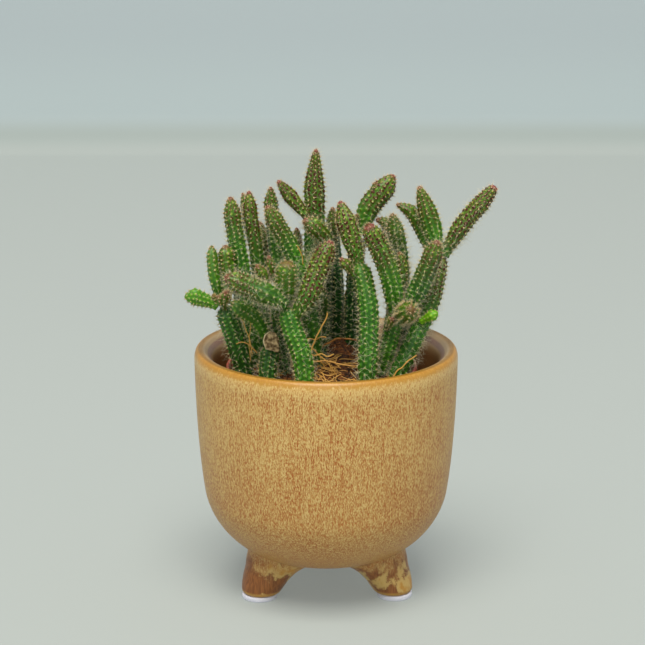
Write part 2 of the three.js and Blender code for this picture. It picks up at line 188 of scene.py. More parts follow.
def planter_distance(points):
    """Signed distance, in millimetres, from the bowl with its feet blended in by a fillet."""
    radius = np.hypot(points[:, 0], points[:, 1])
    height = points[:, 2]
    bowl = distance_to_outline(np.column_stack([radius, height]), bowl_outline)
    reach = np.interp(height, foot_heights, foot_reach)
    girth = np.interp(height, foot_heights, foot_radius)
    feet = np.full(len(points), 1e3)
    for angle in FOOT_ANGLES:
        side = np.hypot(points[:, 0] - reach * math.cos(angle), points[:, 1] - reach * math.sin(angle))
        foot = 0.96 * (side - girth)
        for cut, rounding in ((PAD_THICKNESS - height, 1.2), (height - foot_heights[-1], 0.5)):
            blend = np.clip(0.5 - 0.5 * (foot - cut) / rounding, 0, 1)
            foot = foot * (1 - blend) + cut * blend + rounding * blend * (1 - blend) * 0.5
        feet = np.minimum(feet, foot)
    fillet = FOOT_FILLET * np.clip((FLOOR_Z - 0.5 - height) / 5, 0.01, 1)
    blend = np.clip(0.5 + 0.5 * (bowl - feet) / fillet, 0, 1)
    return bowl * (1 - blend) + feet * blend - fillet * blend * (1 - blend) * 0.5


def foot_mesh(angle):
    """A rough foot, only there for the remesh to grow from."""
    rings = list(zip(foot_radius, foot_heights))
    points, faces = turned([(0, PAD_THICKNESS)] + rings + [(0, foot_heights[-1])], 24, 0)
    for i, point in enumerate(points):
        reach = np.interp(point[2] / MM, foot_heights, foot_reach) * MM
        points[i] = (point[0] + reach * math.cos(angle), point[1] + reach * math.sin(angle), point[2])
    return points, faces


def planter_mesh():
    """The bowl and feet joined by a voxel remesh, then drawn onto the blended surface."""
    points, faces = turned([tuple(p) for p in bowl_outline], 160, 0)
    for angle in FOOT_ANGLES:
        more, more_faces = foot_mesh(angle)
        faces += [tuple(i + len(points) for i in face) for face in more_faces]
        points += more
    rough = new_piece("planter_rough", points, faces)
    remesh = rough.modifiers.new("join", "REMESH")
    remesh.mode = "VOXEL"
    remesh.voxel_size = 0.85 * MM
    evaluated = rough.evaluated_get(bpy.context.evaluated_depsgraph_get())
    mesh = bpy.data.meshes.new_from_object(evaluated)
    bpy.data.objects.remove(rough)
    place = np.empty(len(mesh.vertices) * 3)
    mesh.vertices.foreach_get("co", place)
    place = place.reshape(-1, 3) / MM
    step = 0.02
    for _ in range(4):
        here = planter_distance(place)
        slope = np.column_stack([planter_distance(place + step * axis) - here for axis in np.eye(3)]) / step
        size = np.maximum((slope ** 2).sum(1), 0.2)
        place -= np.clip(here / size, -1.2, 1.2)[:, None] * slope
    return mesh, place


glaze_mesh, glaze_place = planter_mesh()
glaze_radius = np.hypot(glaze_place[:, 0], glaze_place[:, 1])
glaze_inside = distance_to_outline(
    np.column_stack([glaze_radius, glaze_place[:, 2]]),
    np.vstack([[[0, FLOOR_Z - 1], [22, FLOOR_Z - 1]], inner_outline[::-1][1:], [[38.2, 200], [0, 200]],
               [[0, FLOOR_Z - 1]]])) < 0.4
# How far each point lies from the lip's crest, in millimetres: below it outside, or in from it.
glaze_drop = np.where(glaze_inside, np.hypot(38.2 - glaze_radius, LIP_HEIGHT - glaze_place[:, 2]),
                      -np.hypot(glaze_radius - 38.2, LIP_HEIGHT - glaze_place[:, 2]))
glaze_mesh.vertices.foreach_set("co", (glaze_place * MM + [AXIS_X, 0, 0]).ravel())
for name, values in (("lip_mm", glaze_drop), ("inside", glaze_inside.astype(float))):
    glaze_mesh.attributes.new(name, "FLOAT", "POINT").data.foreach_set("value", values.astype(np.float32))
glaze_mesh.shade_smooth()
glaze_mesh.update()
planter = bpy.data.objects.new("planter_glazed", glaze_mesh)
bpy.context.scene.collection.objects.link(planter)


def combined(tree, operation, base, parts):
    """A value with others added to it or multiplied into it.

    Each part is the value that it follows, that value's low and high levels, and the amounts that
    the part runs between, smoothly, from the one level to the other."""
    for value, low, high, first, last in parts:
        part = node(tree, "ShaderNodeMapRange", {"Value": value, "From Min": low, "From Max": high,
                    "To Min": first, "To Max": last}, interpolation_type="SMOOTHSTEP")
        base = node(tree, "ShaderNodeMath", {0: base, 1: part}, operation=operation)
    return base


def coated(tree, base, coats):
    """A colour with others laid over it, one after the other.

    Each coat is the value that it follows, the level where it starts, the level where it covers the
    most, how much it covers there, and its colour."""
    for value, start, full, most, tone in coats:
        share = node(tree, "ShaderNodeMapRange", {"Value": value, "From Min": start, "From Max": full,
                     "To Max": most}, interpolation_type="SMOOTHSTEP")
        base = node(tree, "ShaderNodeMix", {0: share, 6: base, 7: tone}, data_type="RGBA").outputs[2]
    return base


def reactive_glaze():
    """Reactive stoneware glaze: matt ochre rivulets stand a hair proud of a smooth rust-brown glaze,
    and over the lip the brown shows through as a clear amber edge."""
    material, tree, shader = new_material("reactive_stoneware_glaze", 0.42, 1.5)
    place = node(tree, "ShaderNodeTexCoord").outputs["Object"]
    height = node(tree, "ShaderNodeSeparateXYZ", {0: place}).outputs["Z"]
    lip = node(tree, "ShaderNodeAttribute", attribute_name="lip_mm").outputs["Fac"]
    inside = node(tree, "ShaderNodeAttribute", attribute_name="inside").outputs["Fac"]

    def grain(scale, detail, stretch=(1, 1, 1), rough=0.5):
        """Noise with so many lumps to the metre, drawn out along the height."""
        moved = node(tree, "ShaderNodeMapping", {"Vector": place, "Scale": stretch})
        return node(tree, "ShaderNodeTexNoise", {"Vector": moved, "Scale": scale, "Detail": detail,
                    "Roughness": rough, "Distortion": 0.25}).outputs["Fac"]

    clouds = grain(45, 2)                           # 22 mm across
    rivulets = grain(4300, 2, (1, 1, 0.26), 0.6)    # 0.23 mm wide and 0.9 mm long
    drips = grain(2000, 2, (1, 1, 0.07))            # 0.5 mm wide and 7 mm long
    specks = grain(5200, 2, (1, 1, 0.6))            # 0.2 mm across

    # How thick the ochre lies: thin low on the belly, thick in a band under the lip.
    ochre = combined(tree, "ADD", rivulets, [
        (height, 10 * MM, 66 * MM, -0.035, 0.02), (clouds, 0.3, 0.7, -0.012, 0.012),
        (drips, 0.3, 0.7, -0.05, 0.05), (lip, -7, -3, 0, 0.07)])
    uneven_lip = combined(tree, "ADD", lip, [(drips, 0.3, 0.7, -0.6, 0.6)])
    rust = coated(tree, colour("a65e22"), [(clouds, 0.3, 0.7, 1, colour("b06a2c"))])
    pale = coated(tree, colour("cca55c"), [(specks, 0.3, 0.7, 1, colour("dec282"))])
    amber = coated(tree, colour("a8741f"), [(drips, 0.3, 0.7, 1, colour("b88836"))])
    outside = coated(tree, rust, [
        (ochre, 0.4, 0.48, 1, colour("c3934f")), (ochre, 0.5, 0.6, 1, pale),
        (height, 26 * MM, 9 * MM, 0.25, colour("a0692f")),
        (uneven_lip, -3.0, -1.7, 1, amber), (lip, -1.0, -0.2, 1, colour("876013"))])

    # The feet are brown with torn patches of ochre, and paler where they were wiped at the bottom.
    patches = combined(tree, "ADD", grain(120, 3, (1, 1, 0.9)), [(specks, 0.3, 0.7, -0.02, 0.02)])
    ragged = combined(tree, "ADD", height, [(grain(420, 2, (1, 1, 0.4)), 0.3, 0.7, -2 * MM, 2 * MM)])
    foot = coated(tree, colour("7d481c"), [
        (drips, 0.35, 0.65, 1, colour("9a5f2a")), (patches, 0.5, 0.54, 1, colour("cda962")),
        (patches, 0.57, 0.62, 1, colour("c18a36"))])
    inner = coated(tree, colour("876013"), [
        (lip, 0.4, 1.5, 1, colour("ab9069")), (lip, 2.3, 2.9, 1, colour("7a5548")),
        (lip, 4.0, 4.7, 1, colour("a08058")), (lip, 5.2, 8.0, 1, colour("815729")),
        (specks, 0.3, 0.7, 0.25, colour("c9a873"))])
    glazed = coated(tree, colour("b9883a"), [
        (height, 2.3 * MM, 3.2 * MM, 1, foot), (ragged, 9.5 * MM, 14 * MM, 1, outside),
        (inside, 0.4, 0.6, 1, inner)])
    tree.links.new(glazed, shader.inputs["Base Color"])

    # The ochre stands proud and is rougher, except on the feet and over the lip.
    relief = combined(tree, "MULTIPLY", 1.0, [
        (ochre, 0.42, 0.58, 0, 1), (height, 9 * MM, 14 * MM, 0, 1), (lip, -3.0, -6.0, 0, 1)])
    roughness = node(tree, "ShaderNodeMapRange", {"Value": relief, "To Min": 0.38, "To Max": 0.5},
                     interpolation_type="SMOOTHSTEP")
    tree.links.new(roughness.outputs[0], shader.inputs["Roughness"])
    waves = node(tree, "ShaderNodeBump", {"Strength": 0.25, "Distance": 0.6 * MM, "Height": clouds})
    raised = node(tree, "ShaderNodeBump", {"Strength": 0.55, "Distance": 0.09 * MM, "Height": relief,
                  "Normal": waves})
    tree.links.new(raised.outputs[0], shader.inputs["Normal"])
    return material


planter.data.materials.append(reactive_glaze())
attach(planter, "root")
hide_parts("planter")

# ------------------------------------------------------------------------------ pads
# White discs of closed-cell foam, die cut and stuck under the feet to keep the glaze off the table.


def two_toned(tree, shader, share, dark, light):
    """Gives a shader a colour between two, at a share of the way from the one to the other."""
    tone = node(tree, "ShaderNodeMix", {0: share, 6: colour(dark), 7: colour(light)}, data_type="RGBA")
    tree.links.new(tone.outputs[2], shader.inputs["Base Color"])


def foam():
    """Closed-cell polyethylene foam: matt white with a faint cool cast and 0.3 mm cells."""
    material, tree, shader = new_material("closed_cell_foam", 0.85, 1.45)
    place = node(tree, "ShaderNodeTexCoord").outputs["Object"]
    cells = node(tree, "ShaderNodeTexVoronoi", {"Vector": place, "Scale": 3300}).outputs["Distance"]
    two_toned(tree, shader, cells, "e9e8f2", "dad9e6")
    bump = node(tree, "ShaderNodeBump", {"Strength": 0.4, "Distance": 0.08 * MM, "Height": cells})
    tree.links.new(bump.outputs[0], shader.inputs["Normal"])
    return material


pad_foam = foam()
for pad_name, angle in zip(("pad_back", "pad_front_left", "pad_front_right"), FOOT_ANGLES):
    low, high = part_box(pad_name)
    pad_radius, pad_top = (high.x - low.x) / 2 / MM, high.z / MM
    edge = bezier([(pad_radius - 0.3, 0), (pad_radius, 0), (pad_radius, 0.35)], 3)
    crown = bezier([(pad_radius, pad_top - 0.5), (pad_radius, pad_top), (pad_radius - 0.45, pad_top)], 4)
    outline = [(0, 0), (pad_radius - 2, 0), (pad_radius - 0.3, 0), *edge, (pad_radius + 0.05, pad_top / 2),
               (pad_radius, pad_top - 0.5), *crown, (pad_radius - 2, pad_top), (0, pad_top)]
    points, faces = turned(outline, 64, (low.x + high.x) / 2)
    points = [(x, y + (low.y + high.y) / 2, z) for x, y, z in points]
    pad = new_piece(pad_name + "_foam", points, faces, pad_foam)
    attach(pad, "root")
    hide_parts(pad_name)

# ------------------------------------------------------------------------------ nursery pot
# A thin terracotta-red polypropylene pot, injection moulded with a deeper band round its rim. It
# stands loose on the planter's inside floor.

pot_low, pot_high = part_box("nursery_pot")
POT_X = (pot_low.x + pot_high.x) / 2
POT_RADIUS, POT_TOP = (pot_high.x - pot_low.x) / 2 / MM, pot_high.z / MM
POT_WALL, POT_BASE = 0.9, pot_low.z / MM


def moulded_plastic():
    """Injection-moulded polypropylene: dull terracotta red, slightly waxy, dusted with dry mix in
    patches 2 to 3 mm across."""
    material, tree, shader = new_material("terracotta_polypropylene", 0.5, 1.49)
    place = node(tree, "ShaderNodeTexCoord").outputs["Object"]
    dust = node(tree, "ShaderNodeTexNoise", {"Vector": place, "Scale": 420, "Detail": 4}).outputs["Fac"]
    share = node(tree, "ShaderNodeMapRange", {"Value": dust, "From Min": 0.5, "From Max": 0.72})
    two_toned(tree, shader, share, "d25c3e", "9a6a4c")
    return material


def nursery_pot():
    """The pot's wall with a rounded rim, a shoulder under the band and four drain holes."""
    shoulder = POT_TOP - 6
    base_radius, shoulder_radius = 20.5, POT_RADIUS - 1.4
    rim = bezier([(POT_RADIUS, POT_TOP - 0.4), (POT_RADIUS, POT_TOP), (POT_RADIUS - POT_WALL / 2, POT_TOP),
                  (POT_RADIUS - POT_WALL, POT_TOP), (POT_RADIUS - POT_WALL, POT_TOP - 0.4)], 8)
    outline = [(0, POT_BASE), (base_radius - 0.6, POT_BASE), (base_radius, POT_BASE + 0.6),
               (shoulder_radius, shoulder), (POT_RADIUS - 0.1, shoulder + 0.5), (POT_RADIUS, shoulder + 0.8),
               (POT_RADIUS, POT_TOP - 0.4), *rim,
               (POT_RADIUS - POT_WALL, shoulder + 1.5), (shoulder_radius - POT_WALL, shoulder + 0.6),
               (base_radius - POT_WALL, POT_BASE + POT_WALL), (0, POT_BASE + POT_WALL)]
    points, faces = turned(outline, 128, POT_X)
    pot = new_piece("nursery_pot_moulded", points, faces)
    for hole in range(4):
        turn = math.pi / 2 * (hole + 0.5)
        drill_points, drill_faces = turned([(0, -3), (3, -3), (3, 3), (0, 3)], 32, 0)
        place = Vector((POT_X + 12 * MM * math.cos(turn), 12 * MM * math.sin(turn), POT_BASE * MM))
        drill = new_piece("drill", [Vector(p) + place for p in drill_points], drill_faces)
        cut = pot.modifiers.new("hole", "BOOLEAN")
        cut.operation, cut.solver, cut.object = "DIFFERENCE", "EXACT", drill
        mesh = bpy.data.meshes.new_from_object(pot.evaluated_get(bpy.context.evaluated_depsgraph_get()))
        pot.modifiers.clear()
        pot.data = mesh
        bpy.data.objects.remove(drill)
    pot.data.set_sharp_from_angle(angle=math.radians(35))
    return pot


pot = nursery_pot()
pot.data.materials.clear()
pot.data.materials.append(moulded_plastic())
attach(pot, "root")
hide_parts("nursery_pot")

# ------------------------------------------------------------------------------ potting mix
# Damp peat heaped in the nursery pot, crumbly on top, with chips of coir husk, long golden coir
# fibres and a few white grains of perlite.

mix_low, mix_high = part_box("potting_mix")
MIX_RADIUS = (mix_high.x - mix_low.x) / 2 / MM
MIX_EDGE, MIX_CROWN, MIX_BED = 69.3, mix_high.z / MM, mix_low.z / MM
ROOT_MOUND = (4, 13, 4.2, 6)        # x and y from the planter's axis, height and spread, millimetres


def mix_surface(radius):
    """Height of the smoothed heap, in millimetres, at a distance from the nursery pot's axis."""
    heights = [MIX_CROWN - 0.3, 71.3, MIX_EDGE + 0.8, MIX_EDGE, 68.5]
    return np.interp(radius, [0, 8, 17, 25, MIX_RADIUS], heights)


def damp_peat():
    """Damp peat: nearly black brown with rusty and tan crumbs 0.5 to 1.5 mm across, quite matt."""
    material, tree, shader = new_material("damp_peat", 0.9, 1.45)
    place = node(tree, "ShaderNodeTexCoord").outputs["Object"]
    crumbs = node(tree, "ShaderNodeTexNoise",
                  {"Vector": place, "Scale": 900, "Detail": 4, "Roughness": 0.65}).outputs["Fac"]
    share = node(tree, "ShaderNodeMapRange", {"Value": crumbs, "From Min": 0.4, "From Max": 0.68})
    two_toned(tree, shader, share, "1a1005", "703f16")
    bump = node(tree, "ShaderNodeBump", {"Strength": 0.8, "Distance": 0.5 * MM, "Height": crumbs})
    tree.links.new(bump.outputs[0], shader.inputs["Normal"])
    return material


def chip_husk():
    """Coir husk chips and bark: dry rusty brown, each chip its own shade."""
    material, tree, shader = new_material("coir_husk_chips", 0.85, 1.45)
    shade = node(tree, "ShaderNodeAttribute", attribute_name="shade").outputs["Fac"]
    two_toned(tree, shader, shade, "241407", "8a5424")
    return material


def expanded_perlite():
    """Expanded perlite: chalk-white and matt, with greyer pits 0.3 mm across."""
    material, tree, shader = new_material("expanded_perlite", 0.95, 1.5)
    place = node(tree, "ShaderNodeTexCoord").outputs["Object"]
    pits = node(tree, "ShaderNodeTexNoise", {"Vector": place, "Scale": 3000, "Detail": 2}).outputs["Fac"]
    two_toned(tree, shader, pits, "b9b1a2", "f1eee6")
    return material


def coir():
    """Coir fibre: dry straw gold, a little glossy, each strand its own shade."""
    material, tree, shader = new_material("coir_fibre", 0.55, 1.5)
    shade = node(tree, "ShaderNodeAttribute", attribute_name="shade").outputs["Fac"]
    two_toned(tree, shader, shade, "a06c24", "e2b057")
    return material


def heap():
    """A closed plug of mix. Its top is pushed about into lumps, its sides follow the pot."""
    top_radii = np.arange(0.6, MIX_RADIUS, 0.6)
    outline = [(0, MIX_BED), (19, MIX_BED), (MIX_RADIUS - 2.6, 64), (MIX_RADIUS, 67.6)]
    outline += [(r, float(mix_surface(r))) for r in top_radii[::-1]] + [(0, MIX_CROWN)]
    points, faces = turned(outline, 190, POT_X)
    moved = []
    for x, y, z in points:
        if z > 68 * MM:
            spot = Vector((x, y, 0)) / MM
            lumps = noise.fractal(spot * 0.45, 0.8, 2.1, 4) * 0.8
            lumps += 0.7 * noise.turbulence(spot * 1.1 + Vector((7, 3, 0)), 3, False) - 0.45
            fade = np.clip((MIX_RADIUS - math.hypot(x - POT_X, y) / MM) / 2, 0.2, 1)
            away = math.hypot((x - AXIS_X) / MM - ROOT_MOUND[0], y / MM - ROOT_MOUND[1])
            mound = ROOT_MOUND[2] * math.exp(-(away / ROOT_MOUND[3]) ** 2)
            z += (lumps + mound) * MM * fade
        moved.append((x, y, z))
    return new_piece("potting_mix_peat", moved, faces, damp_peat())


def new_tree(name, taken, inputs, gives):
    """A Geometry Nodes tree that takes a geometry and some named inputs of each kind and gives a
    geometry, returned with its inputs' sockets."""
    tree = bpy.data.node_groups.new(name, "GeometryNodeTree")
    tree.interface.new_socket(taken, in_out="INPUT", socket_type="NodeSocketGeometry")
    for kind, labels in inputs.items():
        for label in labels:
            tree.interface.new_socket(label, in_out="INPUT", socket_type="NodeSocket" + kind)
    tree.interface.new_socket(gives, in_out="OUTPUT", socket_type="NodeSocketGeometry")
    return tree, node(tree, "NodeGroupInput").outputs


def scatter_tree():
    """Geometry Nodes: small irregular crumbs scattered on the surface that comes in."""
    tree, given = new_tree("scatter_crumbs", "Surface", {
        "Int": ["Count", "Seed"], "Float": ["Crumb Size", "Flatness"], "Material": ["Material"]}, "Crumbs")
    position = node(tree, "GeometryNodeInputPosition")
    height = node(tree, "ShaderNodeSeparateXYZ", {0: position}).outputs["Z"]
    on_top = node(tree, "FunctionNodeCompare", {0: height, 1: 68.4 * MM}, operation="GREATER_THAN")
    spread = node(tree, "GeometryNodeDistributePointsOnFaces",
                  {"Mesh": given["Surface"], "Selection": on_top, "Density": 1e6, "Seed": given["Seed"]})
    index = node(tree, "GeometryNodeInputIndex")
    extra = node(tree, "FunctionNodeCompare", {2: index, 3: given["Count"]}, data_type="INT",
                 operation="GREATER_EQUAL")
    kept = node(tree, "GeometryNodeDeleteGeometry",
                {"Geometry": spread.outputs["Points"], "Selection": extra})
    shade = node(tree, "FunctionNodeRandomValue", {2: 0.0, 3: 1.0, "Seed": given["Seed"]}).outputs[1]
    shaded = node(tree, "GeometryNodeStoreNamedAttribute",
                  {"Geometry": kept, "Name": "shade", "Value": shade}, domain="POINT")
    ball = node(tree, "GeometryNodeMeshIcoSphere", {"Radius": 1.0, "Subdivisions": 1})
    turn = node(tree, "FunctionNodeRandomValue", {0: (0, 0, 0), 1: (6.3, 6.3, 6.3)}, data_type="FLOAT_VECTOR")
    stretch = node(tree, "FunctionNodeRandomValue", {0: (0.35, 0.6, 0.3), 1: (0.9, 1.5, 0.8)},
                   data_type="FLOAT_VECTOR")
    thin = node(tree, "ShaderNodeCombineXYZ", {"X": 1.0, "Y": 1.0, "Z": given["Flatness"]})
    size = node(tree, "ShaderNodeVectorMath", {0: stretch, 1: thin}, operation="MULTIPLY")
    scaled = node(tree, "ShaderNodeVectorMath", {0: size, "Scale": given["Crumb Size"]}, operation="SCALE")
    placed = node(tree, "GeometryNodeInstanceOnPoints",
                  {"Points": shaded, "Instance": ball, "Rotation": turn, "Scale": scaled})
    real = node(tree, "GeometryNodeRealizeInstances", {0: placed})
    jumble = node(tree, "FunctionNodeRandomValue", {0: (-1, -1, -1), 1: (1, 1, 1)}, data_type="FLOAT_VECTOR")
    jitter = node(tree, "ShaderNodeVectorMath", {0: jumble, "Scale": 0.12 * MM}, operation="SCALE")
    rough = node(tree, "GeometryNodeSetPosition", {"Geometry": real, "Offset": jitter})
    done = node(tree, "GeometryNodeSetMaterial", {0: rough, "Material": given["Material"]})
    node(tree, "NodeGroupOutput", {0: done})
    return tree


def grown(tree, base, name, **inputs):
    """The mesh that a Geometry Nodes tree makes of a base object, as a new plain object."""
    maker = bpy.data.objects.new(name + "_maker", base)
    bpy.context.scene.collection.objects.link(maker)
    modifier = maker.modifiers.new("grow", "NODES")
    modifier.node_group = tree
    sockets = {item.name.replace(" ", "_").lower(): item.identifier
               for item in tree.interface.items_tree if item.in_out == "INPUT"}
    for key, value in inputs.items():
        modifier[sockets[key]] = value
    evaluated = maker.evaluated_get(bpy.context.evaluated_depsgraph_get())
    mesh = bpy.data.meshes.new_from_object(evaluated)
    maker.modifiers.clear()
    bpy.data.objects.remove(maker)
    mesh.name = name
    piece = bpy.data.objects.new(name, mesh)
    bpy.context.scene.collection.objects.link(piece)
    return piece


mix_piece = heap()
crumb_tree = scatter_tree()
crumbs = grown(crumb_tree, mix_piece.data, "husk_chips", count=2600, crumb_size=0.7 * MM, flatness=0.6,
               seed=3, material=chip_husk())
perlite = grown(crumb_tree, mix_piece.data, "perlite_grains", count=34, crumb_size=0.95 * MM, flatness=1.2,
                seed=11, material=expanded_perlite())
for piece in (crumbs, perlite):
    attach(piece, "root")
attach(mix_piece, "root")
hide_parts("potting_mix")

# ------------------------------------------------------------------------------ stems
# Living stems: plump green rods with eight or ten low ribs. Along every rib sits a row of areoles,
# small cushions of cream felt on a swelling, each with a spray of short spines and fine hairs. The
# newest growth is olive and pink at the point, and the oldest is dark and woolly. The stems at the
# back and inside the clump are darkened the same way, partly as painted shade.


def living_skin():
    """Cactus skin: waxy green over wet tissue, with painted shade between the swellings and painted light
    on them, olive and specked with maroon towards the growing point; age runs from -1, lime new growth,
    over 0, fresh, and 1, woolly, to 2, the oldest, a dark blue green, which on the stems at the back
    and inside the clump also stands for painted shade."""
    material, tree, shader = new_material("cactus_skin", 0.4, 1.38)
    shader.inputs["Subsurface Weight"].default_value = 0.1
    shader.inputs["Subsurface Radius"].default_value = (0.8, 1.0, 0.2)
    shader.inputs["Subsurface Scale"].default_value = 0.5 * MM
    place = node(tree, "ShaderNodeTexCoord").outputs["Object"]
    tip, age, blush, swelling = (node(tree, "ShaderNodeAttribute", attribute_name=name).outputs["Fac"]
                                 for name in ("tip_mm", "age", "blush", "swelling"))
    blotches = node(tree, "ShaderNodeTexNoise", {"Vector": place, "Scale": 260, "Detail": 3}).outputs["Fac"]
    flecks = node(tree, "ShaderNodeTexNoise", {"Vector": place, "Scale": 1300, "Detail": 2}).outputs["Fac"]

    # The blotches are 4 mm across and the flecks 0.8 mm. Each tone is painted darker between the
    # swellings and lighter on them: painted shade in the hollows and painted light on the swellings.
    uneven = combined(tree, "ADD", swelling, [(blotches, 0.3, 0.7, -0.2, 0.2)])
    tones_with_painted_shade = [coated(tree, colour(hollow), [(uneven, 0.05, 0.75, 1, colour(top))]) for hollow, top in (
        ("356e14", "62a024"), ("224f17", "448428"), ("0f2a1c", "2b5734"), ("4e7018", "9cac3c"),
        ("5f9a14", "8ec72a"))]
    fresh, woolly, oldest, olive, lime = tones_with_painted_shade

    # A blush over 1 carries the olive and the maroon further down the stem.
    reach = node(tree, "ShaderNodeMath", {0: blush, 1: 1.0}, operation="MAXIMUM")
    end = node(tree, "ShaderNodeMath", {0: tip, 1: reach}, operation="DIVIDE")
    uneven_end = combined(tree, "ADD", end, [(blotches, 0.3, 0.7, -4, 4)])
    most_olive = node(tree, "ShaderNodeMath", {0: blush, 1: 0.8}, operation="MULTIPLY")
    most_pink = node(tree, "ShaderNodeMath", {0: blush, 1: 0.75}, operation="MULTIPLY")
    most_maroon = node(tree, "ShaderNodeMath", {0: blush, 1: 0.88}, operation="MULTIPLY")
    most_maroon = combined(tree, "MULTIPLY", most_maroon, [
        (flecks, 0.4, 0.5, 0, 1), (swelling, 0.03, 0.22, 0.05, 1)])
    skin = coated(tree, fresh, [
        (age, 0, 1, 1, woolly), (age, 1, 2, 1, oldest), (tip, 18, 42, 0.4, colour("1c4a15")),
        (uneven_end, 14, 1, most_olive, olive), (end, 18, 6, most_maroon, colour("48150d")),
        (age, 0, -1, 1, lime), (tip, 1.5, 0.3, most_pink, colour("7c3836"))])
    tree.links.new(skin, shader.inputs["Base Color"])
    bump = node(tree, "ShaderNodeBump", {"Strength": 0.35, "Distance": 0.07 * MM, "Height": flecks})
    tree.links.new(bump.outputs[0], shader.inputs["Normal"])
    return material


def areole_felt():
    """Areole felt: dense cream plant wool, matt, pinker among the newest growth."""
    material, tree, shader = new_material("areole_felt", 0.9, 1.4)
    tip = node(tree, "ShaderNodeAttribute", attribute_name="tip_mm").outputs["Fac"]
    share = node(tree, "ShaderNodeMapRange", {"Value": tip, "From Min": 1.0, "From Max": 12.0})
    two_toned(tree, shader, share, "c9a482", "d8ca90")
    return material


def stiff_spine():
    """Short spines: stiff, horny and cream yellow, warmer among the newest growth."""
    material, tree, shader = new_material("cream_spines", 0.5, 1.5)
    tip = node(tree, "ShaderNodeAttribute", attribute_name="tip_mm").outputs["Fac"]
    share = node(tree, "ShaderNodeMapRange", {"Value": tip, "From Min": 1.0, "From Max": 12.0})
    two_toned(tree, shader, share, "c7a878", "d6c888")
    return material


def pale_hair():
    """Hairs: dry, colourless and fine, so they look grey-white against the green."""
    material, tree, shader = new_material("pale_hairs", 0.6, 1.5)
    shader.inputs["Base Color"].default_value = colour("e0d8b8")
    return material


RING_GAP = 0.36 * MM            # between the skin's rings, on average
SIDES_PER_RIB = 5
FIRST_AREOLE = 0.4              # in steps from the growing point
RIDGE_HEIGHT = 0.22             # a rib between its areoles, as a share of the swelling under one
SKIN_LEVEL, LUMPINESS = 0.87, 0.2       # of the skin between the ribs, as shares of the girth
LUMPS_PER_METRE = 210
CUSHION = (0.19 * MM, 0.19 * MM, 0.15 * MM)
SPINE_RADIUS = 0.05 * MM
HAIR_RADIUS = 0.012             # as a share of its length
FULL_TURN = 2 * math.pi


